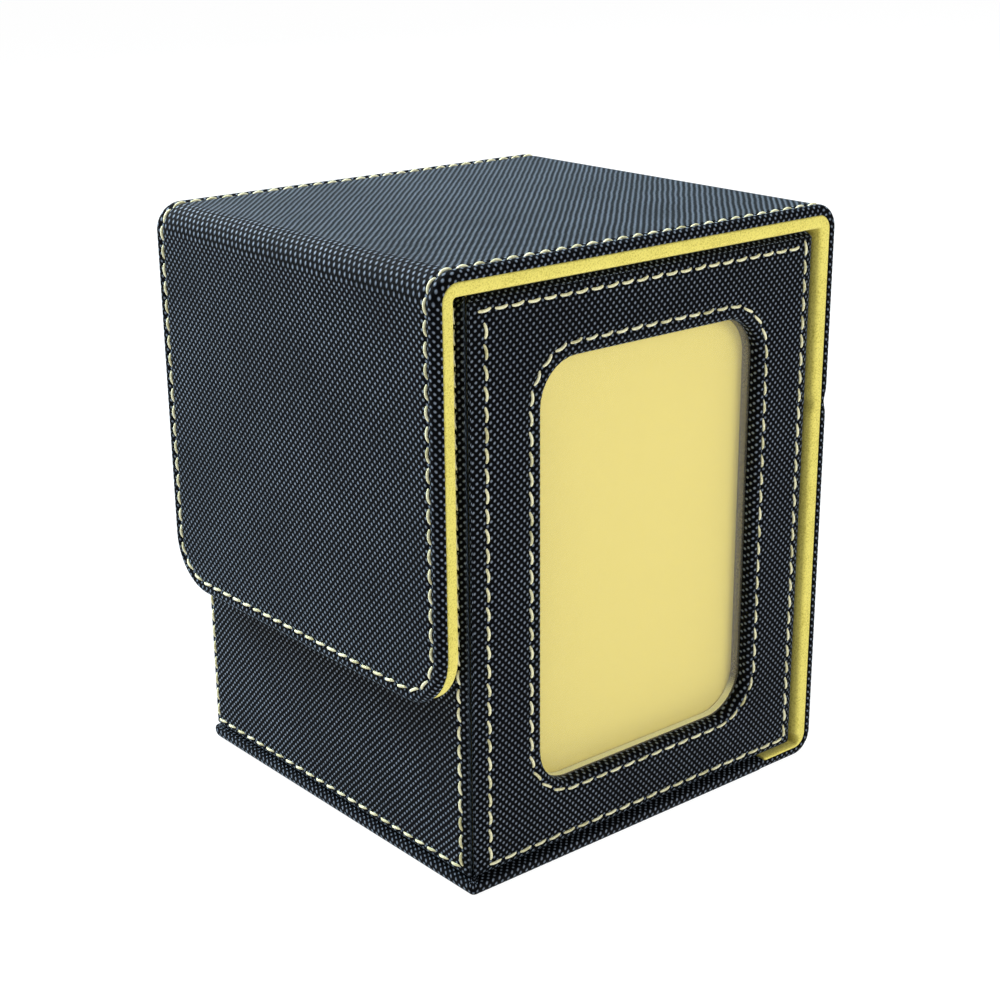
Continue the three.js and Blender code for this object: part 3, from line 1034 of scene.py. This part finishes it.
@dataclass
class Panel:
    """A board covered in leatherette, with its edges turned, its rows of stitches and perhaps a window."""

    plane: Plane
    outline: Rectangle
    thickness: float
    edge: Edge
    window: Optional[Rectangle] = None
    window_edge: Optional[Edge] = None
    mitre: tuple[float, float] = (math.inf, math.inf)

    def held(self, u: float, height: float) -> float:
        """Keeps a point inside the panel's mitred corners.

        Args:
            u: The point's distance along right.
            height: Its height above the seam face.

        Returns:
            The distance that it may have.
        """
        depth = self.thickness - height
        low, high = self.outline.low[0], self.outline.high[0]
        first = max(u, low + depth - self.mitre[0]) if math.isfinite(self.mitre[0]) else u
        return min(first, high - depth + self.mitre[1]) if math.isfinite(self.mitre[1]) else first

    def side(self, shell: Shell, outline: Rectangle, edge: Edge) -> list[Row]:
        """Adds the rows of one turned edge.

        Args:
            shell: The mesh that they go into.
            outline: The edge's line, the panel's own or the window's.
            edge: Its section.

        Returns:
            The rows, from the show face to the pocket.
        """
        section = edge.rails(self.thickness)
        rows = []
        for (d, height), laid in zip(section, lengths_along(section)):
            points, cloth = outline.loop(d), outline.loop(laid)
            rows.append([
                shell.vert(self.plane.place(u if outline.outwards else self.held(u, height), v, height), uv)
                for (u, v), uv in zip(points, cloth)
            ])
        return rows

    def piece(self, name: str, material: bpy.types.Material) -> bpy.types.Object:
        """Makes the covered panel.

        Args:
            name: The piece's name.
            material: Its finish.

        Returns:
            The new object.
        """
        shell = Shell()
        outer = self.side(shell, self.outline, self.edge)
        shell.rows(outer, closed=True)
        if self.window is None:
            shell.face(outer[0])
            shell.face(outer[-1])
        else:
            inner = self.side(shell, self.window, self.window_edge)
            shell.rows(inner, closed=True)
            self.bridge(shell, outer[0], inner[0])
            self.bridge(shell, outer[-1], inner[-1])
        return shell.finish(name, material)

    def bridge(self, shell: Shell, outer: Row, inner: Row) -> None:
        """Joins the outer and inner rows of one face.

        Args:
            shell: The mesh that they belong to.
            outer: The row nearest the outline.
            inner: The row nearest the window, with fewer or more points.
        """
        count, other = len(outer), len(inner)
        k = 0
        for i in range(count):
            goal = round((i + 1) * other / count)
            while k < goal:
                shell.face((outer[i], inner[(k + 1) % other], inner[k % other]))
                k += 1
            shell.face((outer[i], outer[(i + 1) % count], inner[k % other]))

    def seams(self) -> list[list[SeamPoint]]:
        """Returns the lines that the stitches follow, each as (point, outward normal)."""
        lines = []
        for outline, edge in ((self.outline, self.edge), (self.window, self.window_edge)):
            if outline is not None and edge.stitch_inset:
                loop = outline.loop(edge.stitch_inset)
                height = self.thickness - edge.groove
                lines.append([(self.plane.place(u, v, height), self.plane.out) for u, v in [*loop, loop[0]]])
        return lines


# ---------------------------------------------------------------------------
# Stitches


@dataclass(frozen=True)
class Stitching:
    """A running row of lockstitches, laid along a line by Geometry Nodes."""

    material: bpy.types.Material
    pitch: float = 3.5 * MM
    visible: float = 2.7 * MM
    radius: float = 0.26 * MM
    rise: float = 0.34 * MM
    bow: float = 0.16 * MM
    slant: float = math.radians(7)
    jitter: float = math.radians(4)
    seed: int = 11
    sink: float = 1.6
    lift: float = 1.6
    handle_reach: float = 0.8
    strand_points: int = 7
    strand_sides: int = 8
    slack: float = 1e-5

    def tree(self) -> bpy.types.NodeTree:
        """Returns the node tree, made the first time it is needed."""
        found = bpy.data.node_groups.get("stitch_row")
        if found is not None:
            return found
        tree = bpy.data.node_groups.new("stitch_row", "GeometryNodeTree")
        face = tree.interface
        face.new_socket(name="Line", in_out="INPUT", socket_type="NodeSocketGeometry")
        for name in ("Visible length", "Thread radius", "Rise", "Bow", "Slant", "Jitter"):
            face.new_socket(name=name, in_out="INPUT", socket_type="NodeSocketFloat")
        face.new_socket(name="Seed", in_out="INPUT", socket_type="NodeSocketInt")
        face.new_socket(name="Thread", in_out="INPUT", socket_type="NodeSocketMaterial")
        face.new_socket(name="Stitches", in_out="OUTPUT", socket_type="NodeSocketGeometry")
        add, link = tree.nodes.new, tree.links.new
        given = add("NodeGroupInput").outputs

        def computed(kind: str, values: Sequence[object], **settings: str) -> bpy.types.NodeSocket:
            """Adds a node that computes a value.

            Args:
                kind: Blender's name for the type of node.
                values: A number or a socket for each of its inputs.
                **settings: The node's own properties.

            Returns:
                The result's socket.
            """
            made = add(kind)
            for name, setting in settings.items():
                setattr(made, name, setting)
            for socket, value in zip(made.inputs, values):
                if isinstance(value, bpy.types.NodeSocket):
                    link(value, socket)
                else:
                    socket.default_value = value
            return made.outputs[0]

        def maths(operation: str, *values: object) -> bpy.types.NodeSocket:
            """Returns the result of a Math node on numbers or sockets."""
            return computed("ShaderNodeMath", values, operation=operation)

        def vector(*values: object) -> bpy.types.NodeSocket:
            """Returns a vector of three numbers or sockets."""
            return computed("ShaderNodeCombineXYZ", values)

        half = maths("MULTIPLY", given["Visible length"], 0.5)
        dip = maths("MULTIPLY", given["Thread radius"], -self.sink)
        strand = add("GeometryNodeCurvePrimitiveBezierSegment")
        strand.mode = "POSITION"
        strand.inputs["Resolution"].default_value = self.strand_points
        lift = maths("MULTIPLY", given["Rise"], self.lift)
        before, after = (maths("MULTIPLY", half, way * self.handle_reach) for way in (-1, 1))
        link(vector(maths("MULTIPLY", half, -1.0), 0.0, dip), strand.inputs["Start"])
        link(vector(before, given["Bow"], lift), strand.inputs["Start Handle"])
        link(vector(after, given["Bow"], lift), strand.inputs["End Handle"])
        link(vector(half, 0.0, dip), strand.inputs["End"])
        ring = add("GeometryNodeCurvePrimitiveCircle")
        ring.inputs["Resolution"].default_value = self.strand_sides
        link(given["Thread radius"], ring.inputs["Radius"])
        tube = add("GeometryNodeCurveToMesh")
        link(strand.outputs[0], tube.inputs["Curve"])
        link(ring.outputs[0], tube.inputs["Profile Curve"])
        tube.inputs["Fill Caps"].default_value = True
        smooth = add("GeometryNodeSetShadeSmooth")
        link(tube.outputs[0], smooth.inputs[0])

        line = add("GeometryNodeMeshToCurve")
        link(given["Line"], line.inputs[0])
        spacing, up = add("GeometryNodeInputNamedAttribute"), add("GeometryNodeInputNamedAttribute")
        spacing.data_type, up.data_type = "FLOAT", "FLOAT_VECTOR"
        spacing.inputs["Name"].default_value, up.inputs["Name"].default_value = "spacing", "up"
        points = add("GeometryNodeCurveToPoints")
        points.mode = "LENGTH"
        link(line.outputs[0], points.inputs["Curve"])
        link(spacing.outputs[0], points.inputs["Length"])
        facing = add("FunctionNodeAxesToRotation")
        facing.primary_axis, facing.secondary_axis = "Z", "X"
        link(up.outputs[0], facing.inputs["Primary Axis"])
        link(points.outputs["Tangent"], facing.inputs["Secondary Axis"])
        loose = add("FunctionNodeRandomValue")
        loose.data_type = "FLOAT"
        floats = [s for s in loose.inputs if s.type == "VALUE"]
        link(maths("SUBTRACT", given["Slant"], given["Jitter"]), floats[0])
        link(maths("ADD", given["Slant"], given["Jitter"]), floats[1])
        link(given["Seed"], loose.inputs["Seed"])
        turned = next(s for s in loose.outputs if s.type == "VALUE" and s.enabled)
        lean = add("FunctionNodeEulerToRotation")
        link(vector(0.0, 0.0, turned), lean.inputs[0])
        rotate = add("FunctionNodeRotateRotation")
        rotate.rotation_space = "LOCAL"
        link(facing.outputs[0], rotate.inputs[0])
        link(lean.outputs[0], rotate.inputs[1])
        place = add("GeometryNodeInstanceOnPoints")
        link(points.outputs["Points"], place.inputs["Points"])
        link(smooth.outputs[0], place.inputs["Instance"])
        link(rotate.outputs[0], place.inputs["Rotation"])
        real = add("GeometryNodeRealizeInstances")
        link(place.outputs[0], real.inputs[0])
        dress = add("GeometryNodeSetMaterial")
        link(real.outputs[0], dress.inputs["Geometry"])
        link(given["Thread"], dress.inputs["Material"])
        link(dress.outputs[0], add("NodeGroupOutput").inputs[0])
        return tree

    def line_mesh(self, name: str, lines: Iterable[Sequence[SeamPoint]]) -> bpy.types.Mesh:
        """Makes the lines that the stitches follow.

        Args:
            name: The mesh's name.
            lines: Lines of (point, outward normal).

        Returns:
            A mesh of edges, with the outward normal and the exact spacing on its points.
        """
        places, edges, ups, spacings = [], [], [], []
        for line in lines:
            total = length_of(line)
            count = max(2, round(total / self.pitch))
            spacing = total / count
            trimmed = trim(line, spacing / 2)
            first = len(places)
            places += [p for p, _ in trimmed]
            ups += [c for _, n in trimmed for c in n]
            spacings += [length_of(trimmed) / (count - 1) * (1 - self.slack)] * len(trimmed)
            edges += [(first + i, first + i + 1) for i in range(len(trimmed) - 1)]
        mesh = bpy.data.meshes.new(name)
        mesh.from_pydata(places, edges, [])
        mesh.attributes.new("up", "FLOAT_VECTOR", "POINT").data.foreach_set("vector", ups)
        mesh.attributes.new("spacing", "FLOAT", "POINT").data.foreach_set("value", spacings)
        return mesh

    def sew(self, name: str, lines: Iterable[Sequence[SeamPoint]]) -> bpy.types.Object:
        """Sews along lines.

        Args:
            name: The piece's name.
            lines: Lines of (point, outward normal).

        Returns:
            One mesh of every stitch.
        """
        holder = add_object(name + "_line", self.line_mesh(name + "_line", lines))
        modifier = holder.modifiers.new("stitches", "NODES")
        modifier.node_group = self.tree()
        values = {
            "Visible length": self.visible,
            "Thread radius": self.radius,
            "Rise": self.rise,
            "Bow": self.bow,
            "Slant": self.slant,
            "Jitter": self.jitter,
            "Seed": self.seed,
            "Thread": self.material,
        }
        for item in modifier.node_group.interface.items_tree:
            if item.item_type == "SOCKET" and item.in_out == "INPUT" and item.name in values:
                modifier[item.identifier] = values[item.name]
        graph = bpy.context.evaluated_depsgraph_get()
        mesh = bpy.data.meshes.new_from_object(holder.evaluated_get(graph))
        mesh.name = name
        bpy.data.objects.remove(holder)
        return add_object(name, mesh)


def length_of(line: Sequence[SeamPoint]) -> float:
    """Returns how long a line is."""
    return sum((b[0] - a[0]).length for a, b in zip(line, line[1:]))


def trim(line: Sequence[SeamPoint], cut: float) -> list[SeamPoint]:
    """Shortens a line at both ends.

    Args:
        line: (point, normal) along it.
        cut: How much to take off each end.

    Returns:
        The shorter line.
    """
    def shorten(points: list[SeamPoint]) -> list[SeamPoint]:
        """Cuts off a line's start.

        Args:
            points: The line.

        Returns:
            What is left of it.
        """
        left = cut
        for i, ((p, n), (q, _)) in enumerate(zip(points, points[1:])):
            step = (q - p).length
            if step > left:
                return [(p.lerp(q, left / step), n)] + points[i + 1:]
            left -= step
        return points

    return list(reversed(shorten(list(reversed(shorten(list(line)))))))


# ---------------------------------------------------------------------------
# Sub-assemblies


def settle(piece: bpy.types.Object, nodes: Sequence[str] = (), body: str = "",
           bend: Optional[Bend] = None) -> None:
    """Hides the CAD nodes that a piece replaces and rides the piece on its body; a piece across a bend only
    has its place baked into its mesh, and the two bodies that it joins are logged.

    Args:
        piece: The piece.
        nodes: CAD nodes that it replaces.
        body: The body that it rides on.
        bend: Or the two bodies that it joins, and where the bend starts and ends.
    """
    if nodes:
        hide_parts(*nodes)
    if bend is not None:
        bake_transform(piece)
    else:
        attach(piece, body)
    LOG.info("%s: %d faces, %s", piece.name, len(piece.data.polygons), bend[:2] if bend else body)


@dataclass
class Cover:
    """The one-piece cover: flap, lid, folding back, heel and base, in leatherette over yellow suede."""

    finishes: Finishes
    path: CoverPath
    stitching: Stitching
    flap_corner: float = 10.5 * MM
    base_corner: float = 1.4 * MM
    tail_corner: float = 0.5 * MM
    stitch_inset: float = 2.4 * MM
    fold_depth: float = 0.75 * MM
    fold_width_share: float = 0.6
    lining_fold_share: float = 0.8
    lining_inset: float = 0.15 * MM
    tail_step: float = 0.5 * MM
    base_flare: float = 1.5 * MM
    cut_lid: float = field(init=False)
    cut_back: float = field(init=False)
    fold_low: float = field(init=False)
    fold_high: float = field(init=False)

    def __post_init__(self) -> None:
        """Places the cuts where the cover is flat and follows one body."""
        self.cut_lid = (self.path.starts["lid"] + self.path.ends["lid"]) / 2
        low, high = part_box("upper_back_leather")
        self.cut_back = self.path.back_at((low.z + high.z) / 2)
        self.fold_low, self.fold_high = (corner.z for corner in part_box("back_fold_leather"))

    def crease(self, s: float) -> float:
        """Measures the crease of the back's fold.

        Args:
            s: The distance along the cover.

        Returns:
            How deep it is there.
        """
        middle = self.path.back_at((self.fold_low + self.fold_high) / 2)
        width = (self.fold_high - self.fold_low) / 2
        return self.fold_depth * math.exp(-(((s - middle) / (width * self.fold_width_share)) ** 2))

    def leather(self) -> Ply:
        """Returns the leatherette ply."""
        low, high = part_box("flap_leather")
        _, base_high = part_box("base_leather")
        thickness = self.path.flap_x - low.x
        tail = self.path.base_at(base_high.x)
        rise = base_high.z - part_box("heel_lining")[0].z

        def under(s: float) -> float:
            """Returns where the seam face lies: the base is thicker past the lining's tail."""
            return -rise * smooth((s - tail) / self.tail_step)

        def half(s: float) -> float:
            """Returns the half width: the base stands a little proud."""
            return high.y + (base_high.y - high.y) * smooth((s - tail) / self.base_flare)

        edge = Edge(
            roll=1.3 * MM, hem_roll=0.3 * MM, hem=0.7 * MM, skin=0.7 * MM,
            stitch_inset=self.stitch_inset, groove=0.28 * MM, crown=0.1 * MM, lip=4 * MM,
        )
        return Ply(self.path, edge, True, half, lambda s: thickness, under, self.crease, thickness)

    def lining(self) -> Ply:
        """Returns the suede ply."""
        low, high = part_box("flap_lining")
        heel_low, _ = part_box("heel_lining")
        thickness = high.x - low.x
        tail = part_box("base_leather")[1].z - heel_low.z

        def depth(s: float) -> float:
            """Returns the thickness: the heel thins it down to the tail."""
            share = (s - self.path.starts["heel"]) / (self.path.ends["heel"] - self.path.starts["heel"])
            return thickness + (tail - thickness) * smooth(share)

        edge = Edge(roll=0.8 * MM, hem_roll=0.35 * MM, hem=0.6 * MM, skin=0.6 * MM)
        return Ply(
            self.path, edge, False, lambda s: high.y - self.lining_inset, depth, lambda s: 0.0,
            lambda s: self.crease(s) * self.lining_fold_share, thickness,
        )

    def bends(self) -> dict[str, Bend]:
        """Returns the two bodies and the extent of each of the cover's bends."""
        flap_low, flap_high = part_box("flap_bend_leather")
        lid_low, lid_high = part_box("lid_bend_leather")
        fold_low, fold_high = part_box("back_fold_leather")
        extents = {
            "front": ("lid", "flap", (flap_high.x, flap_high.z), (flap_low.x, flap_low.z)),
            "middle": ("upper_back", "lid", (lid_high.x, lid_low.z), (lid_low.x, lid_high.z)),
            "back": ("box", "upper_back", (fold_high.x, fold_low.z), (fold_high.x, fold_high.z)),
        }
        return {
            name: (body, other, Vector((x0, 0, z0)), Vector((x1, 0, z1)))
            for name, (body, other, (x0, z0), (x1, z1)) in extents.items()
        }

    def build(self) -> None:
        """Makes both plies and their stitches."""
        end, tail = self.path.length, self.path.base_at(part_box("heel_lining")[0].x)
        bends = self.bends()
        fine = [(self.path.back_at(self.fold_high + MM), self.path.back_at(self.fold_low - MM))]
        leather, lining = self.leather(), self.lining()
        plies = (
            ("leather", leather, self.finishes.leatherette, Slot.LEATHERETTE, end, self.base_corner),
            ("lining", lining, self.finishes.suede, Slot.SUEDE, tail, self.tail_corner),
        )
        joint = self.path.base_at(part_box("base_leather")[1].x)
        steps = {"leather": (joint - 0.5 * MM, joint + 2 * MM), "lining": (tail - 2 * MM, tail)}
        for kind, ply, material, slot, last, corner in plies:
            front = ply.piece("cover_front_" + kind, material, 0.0, self.cut_lid, self.flap_corner)
            middle = ply.piece("cover_middle_" + kind, material, self.cut_lid, self.cut_back)
            back = ply.piece(
                "cover_back_" + kind, material, self.cut_back, last, corner, at_start=False,
                fine=[*fine, steps[kind]],
            )
            settle(front, [f"flap_{kind}", f"flap_bend_{kind}", f"lid_{kind}"], bend=bends["front"])
            settle(middle, [f"lid_bend_{kind}", f"upper_back_{kind}"], bend=bends["middle"])
            names = [f"back_fold_{kind}", f"lower_back_{kind}", f"heel_{kind}"]
            names += ["base_leather"] if kind == "leather" else []
            settle(back, names, bend=bends["back"])
        self.sew(leather, bends)

    def sew(self, leather: Ply, bends: dict[str, Bend]) -> None:
        """Sews the flap's edge, the lid's long edges and the back's.

        Args:
            leather: The leatherette ply.
            bends: The bodies and extent of each bend.
        """
        rows = {
            "front": leather.seam(0.0, self.cut_lid, self.flap_corner),
            "middle": leather.seam(self.cut_lid, self.cut_back),
            "back": leather.seam(self.cut_back, self.path.starts["heel"] - MM),
        }
        for name, lines in rows.items():
            settle(self.stitching.sew(f"cover_{name}_stitches", lines), bend=bends[name])


@dataclass
class Walls:
    """The box's four covered walls: front wall, window panel, rear panel and back wall."""

    finishes: Finishes
    stitching: Stitching
    skin: float = 0.7 * MM
    roll: float = 2.3 * MM
    corner: float = 1.2 * MM
    far_swell: float = 1.5 * MM
    stand_off: float = 0.05 * MM
    front_mitre: float = 0.3 * MM
    side_mitre: float = 0.15 * MM
    window_roll: float = 1.2 * MM
    groove: float = 0.28 * MM
    crown: float = 0.08 * MM
    nominal_inset: float = 2.6 * MM
    window_inset: float = 2.2 * MM
    window_corner: float = 8.0 * MM

    def foot(self) -> float:
        """Returns the height of the walls' lower edge, which sits on the base."""
        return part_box("base_leather")[1].z + self.stand_off

    def edge(self, inset: float, roll: float) -> Edge:
        """Describes a stitched turned edge.

        Args:
            inset: How far in its stitches are.
            roll: The radius of the turned edge.

        Returns:
            The edge.
        """
        return Edge(
            roll=roll, hem_roll=0.25 * MM, hem=self.skin, skin=self.skin,
            stitch_inset=inset, groove=self.groove, crown=self.crown, field=inset + 2.1 * MM,
        )

    def front(self) -> None:
        """Makes the wall behind the flap."""
        low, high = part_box("front_wall_leather")
        plane = Plane(Vector((high.x, 0, 0)), Vector((0, -1, 0)), Vector((0, 0, 1)), Vector((-1, 0, 0)))
        outline = Rectangle(
            (-high.y - self.far_swell, self.foot()), (-low.y, high.z), self.corner, (0.8, 0.85, 0.72, 1.0),
        )
        panel = Panel(
            plane, outline, high.x - low.x, self.edge(self.nominal_inset, self.roll),
            mitre=(self.front_mitre, self.front_mitre),
        )
        self.place("front_wall", panel)

    def window(self) -> None:
        """Makes the panel with the window."""
        low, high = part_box("window_panel_leather")
        plane = Plane(Vector((0, high.y, 0)), Vector((1, 0, 0)), Vector((0, 0, 1)), Vector((0, -1, 0)))
        outline = Rectangle((low.x, self.foot()), (high.x, high.z), self.corner, (1.55, 1.1, 0.8, 0.85))
        hole_low, hole_high = opening_of("window_panel_leather", self.skin)
        hole = Rectangle(
            (hole_low.x, hole_low.z), (hole_high.x, hole_high.z), self.window_corner,
            (1.2, 0.84, 0.68, 1.23), outwards=True,
        )
        panel = Panel(
            plane, outline, high.y - low.y, self.edge(self.nominal_inset, self.roll), hole,
            self.edge(self.window_inset, self.window_roll), mitre=(self.side_mitre, math.inf),
        )
        self.place("window_panel", panel)

    def rear(self) -> None:
        """Makes the plain panel opposite the window."""
        low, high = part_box("rear_panel_leather")
        plane = Plane(Vector((0, low.y, 0)), Vector((-1, 0, 0)), Vector((0, 0, 1)), Vector((0, 1, 0)))
        outline = Rectangle((-high.x, self.foot()), (-low.x, high.z), self.corner, (1.1, 1.55, 0.8, 0.85))
        panel = Panel(
            plane, outline, high.y - low.y + self.far_swell, self.edge(self.nominal_inset, self.roll),
            mitre=(math.inf, self.side_mitre),
        )
        self.place("rear_panel", panel)

    def place(self, name: str, panel: Panel) -> None:
        """Builds a panel and its stitches, and rides them on the box.

        Args:
            name: The panel's name.
            panel: Its design.
        """
        settle(panel.piece(name, self.finishes.leatherette), [name + "_leather"], "box")
        settle(self.stitching.sew(name + "_stitches", panel.seams()), body="box")

    def back(self) -> None:
        """Makes the thin skin on the wall inside the folding back."""
        low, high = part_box("back_wall_leather")
        plane = Plane(Vector((low.x, 0, 0)), Vector((0, 1, 0)), Vector((0, 0, 1)), Vector((1, 0, 0)))
        outline = Rectangle((low.y, low.z), (high.y, high.z), 0.8 * MM)
        edge = Edge(roll=0.3 * MM, hem_roll=0.1 * MM, hem=0.4 * MM, skin=0.6 * MM)
        panel = Panel(plane, outline, high.x - low.x, edge)
        piece = panel.piece("back_wall_skin", self.finishes.leatherette)
        settle(piece, ["back_wall_leather"], "box")

    def build(self) -> None:
        """Makes every wall."""
        self.front()
        self.window()
        self.rear()
        self.back()


def opening_of(node: str, rim: float) -> tuple[Vector, Vector]:
    """Measures the opening through a panel.

    Args:
        node: The panel's CAD node.
        rim: How thick the cloth is that turns in round the opening.

    Returns:
        The opening's lowest and highest corners.
    """
    low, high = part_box(node)
    margin = 6 * MM
    inner = [
        v.co for v in bpy.data.objects[node].data.vertices
        if low.x + margin < v.co.x < high.x - margin and low.z + margin < v.co.z < high.z - margin
    ]
    thick = Vector((rim, 0, rim))
    return (
        Vector(min(c[i] for c in inner) for i in range(3)) + thick,
        Vector(max(c[i] for c in inner) for i in range(3)) - thick,
    )


@dataclass
class Interior:
    """What the box holds and hides: boards, linings, magnets, the pane and the cards' dividers."""

    finishes: Finishes
    nodes: dict[str, bpy.types.Object]

    def finish_for(self, name: str) -> bpy.types.Material:
        """Chooses a node's material.

        Args:
            name: The node's name.

        Returns:
            The material.
        """
        if name == "window_lining":
            return self.finishes.rim_felt
        named = {
            "magnet": self.finishes.magnet,
            "pane": self.finishes.clear_pane,
            "card": self.finishes.insert_card,
            "board": self.finishes.grey_board,
            "spacer": self.finishes.grey_board,
        }
        words = name.split("_")
        return next((material for word, material in named.items() if word in words), self.finishes.suede)

    def build(self) -> None:
        """Dresses every CAD node that still shows."""
        for name, node in self.nodes.items():
            if not node.hide_render:
                node.data.materials.clear()
                node.data.materials.append(self.finish_for(name))
                LOG.info("%s: %s", name, self.finish_for(name).name)


# ---------------------------------------------------------------------------
# Studio


@dataclass(frozen=True)
class Camera:
    """The camera: where it looks, from which side, and how long its lens is."""

    aim: Vector = Vector((0.00156, 0.00068, 0.05296))
    azimuth: float = -39.83
    elevation: float = 18.99
    roll: float = -0.41
    distance: float = 0.3697
    lens: float = 67.67
    sensor: float = 36.0

    def build(self) -> None:
        """Adds the camera to the scene."""
        a, e, r = (math.radians(x) for x in (self.azimuth, self.elevation, self.roll))
        back = Vector((math.sin(a) * math.cos(e), -math.cos(a) * math.cos(e), math.sin(e)))
        right = Vector((math.cos(a), math.sin(a), 0))
        up = back.cross(right)
        side = right * math.cos(r) + up * math.sin(r)
        top = up * math.cos(r) - right * math.sin(r)
        place = self.aim + back * self.distance
        data = bpy.data.cameras.new("camera")
        data.lens, data.sensor_width = self.lens, self.sensor
        data.clip_start, data.clip_end = 0.01, 20
        camera = add_object("camera", data)
        camera.matrix_world = Matrix((
            (side.x, top.x, back.x, place.x),
            (side.y, top.y, back.y, place.y),
            (side.z, top.z, back.z, place.z),
            (0, 0, 0, 1),
        ))
        bpy.context.scene.camera = camera


@dataclass(frozen=True)
class SoftBox:
    """A square studio light that faces the object."""

    name: str
    place: Vector
    size: float
    power: float
    colour: tuple[float, float, float] = (1.0, 1.0, 1.0)

    def build(self, target: Vector) -> None:
        """Adds the light.

        Args:
            target: What it faces.
        """
        data = bpy.data.lights.new(self.name, "AREA")
        data.shape, data.size, data.energy, data.color = "SQUARE", self.size, self.power, self.colour
        lamp = add_object(self.name, data)
        lamp.location = self.place
        lamp.rotation_euler = (target - self.place).to_track_quat("-Z", "Y").to_euler()


@dataclass(frozen=True)
class Studio:
    """A pale floor, five soft lights and a room that is white to look at and lights the object dimly."""

    floor_material: bpy.types.Material
    floor_half: float = 6.0
    room: float = 0.16
    wall: float = 1.0
    lights: tuple[SoftBox, ...] = (
        SoftBox("rear", Vector((-0.1, 0.75, 0.62)), 0.9, 20.0, (0.86, 0.95, 1.0)),
        SoftBox("left_rear", Vector((-0.42, 0.6, 0.72)), 0.45, 9.0, (0.74, 0.9, 1.0)),
        SoftBox("overhead", Vector((0.2, 0.1, 0.9)), 0.5, 4.0, (0.9, 0.97, 1.0)),
        SoftBox("left_front", Vector((-0.7, -0.22, 0.6)), 0.3, 0.7),
        SoftBox("right_front", Vector((0.3, -0.85, 0.35)), 0.4, 3.2),
    )

    def build(self) -> None:
        """Adds the floor, the room's light and the lamps."""
        mesh = bpy.data.meshes.new("floor")
        h = self.floor_half
        mesh.from_pydata([(-h, -h, 0), (h, -h, 0), (h, h, 0), (-h, h, 0)], [], [(0, 1, 2, 3)])
        mesh.materials.append(self.floor_material)
        floor = add_object("floor", mesh)
        floor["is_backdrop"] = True
        world = bpy.data.worlds.new("room")
        world.use_nodes = True
        nodes, links = world.node_tree.nodes, world.node_tree.links
        nodes["Background"].inputs["Color"].default_value = (1, 1, 1, 1)
        sight = nodes.new("ShaderNodeLightPath")
        strength = nodes.new("ShaderNodeMapRange")
        strength.inputs["To Min"].default_value = self.room
        strength.inputs["To Max"].default_value = self.wall
        links.new(sight.outputs["Is Camera Ray"], strength.inputs["Value"])
        links.new(strength.outputs[0], nodes["Background"].inputs["Strength"])
        bpy.context.scene.world = world
        low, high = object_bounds()
        for light in self.lights:
            light.build((low + high) / 2)


def main() -> None:
    """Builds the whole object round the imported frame."""
    logging.basicConfig(level=logging.INFO, format="%(name)s: %(message)s")
    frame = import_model()
    Camera().build()
    finishes = Finishes()
    Studio(finishes.floor).build()
    bpy.context.scene.view_settings.view_transform = "Standard"
    stitching = Stitching(finishes.thread)
    Cover(finishes, CoverPath(), stitching).build()
    Walls(finishes, stitching).build()
    Interior(finishes, frame["nodes"]).build()


if __name__ == "__main__":
    main()
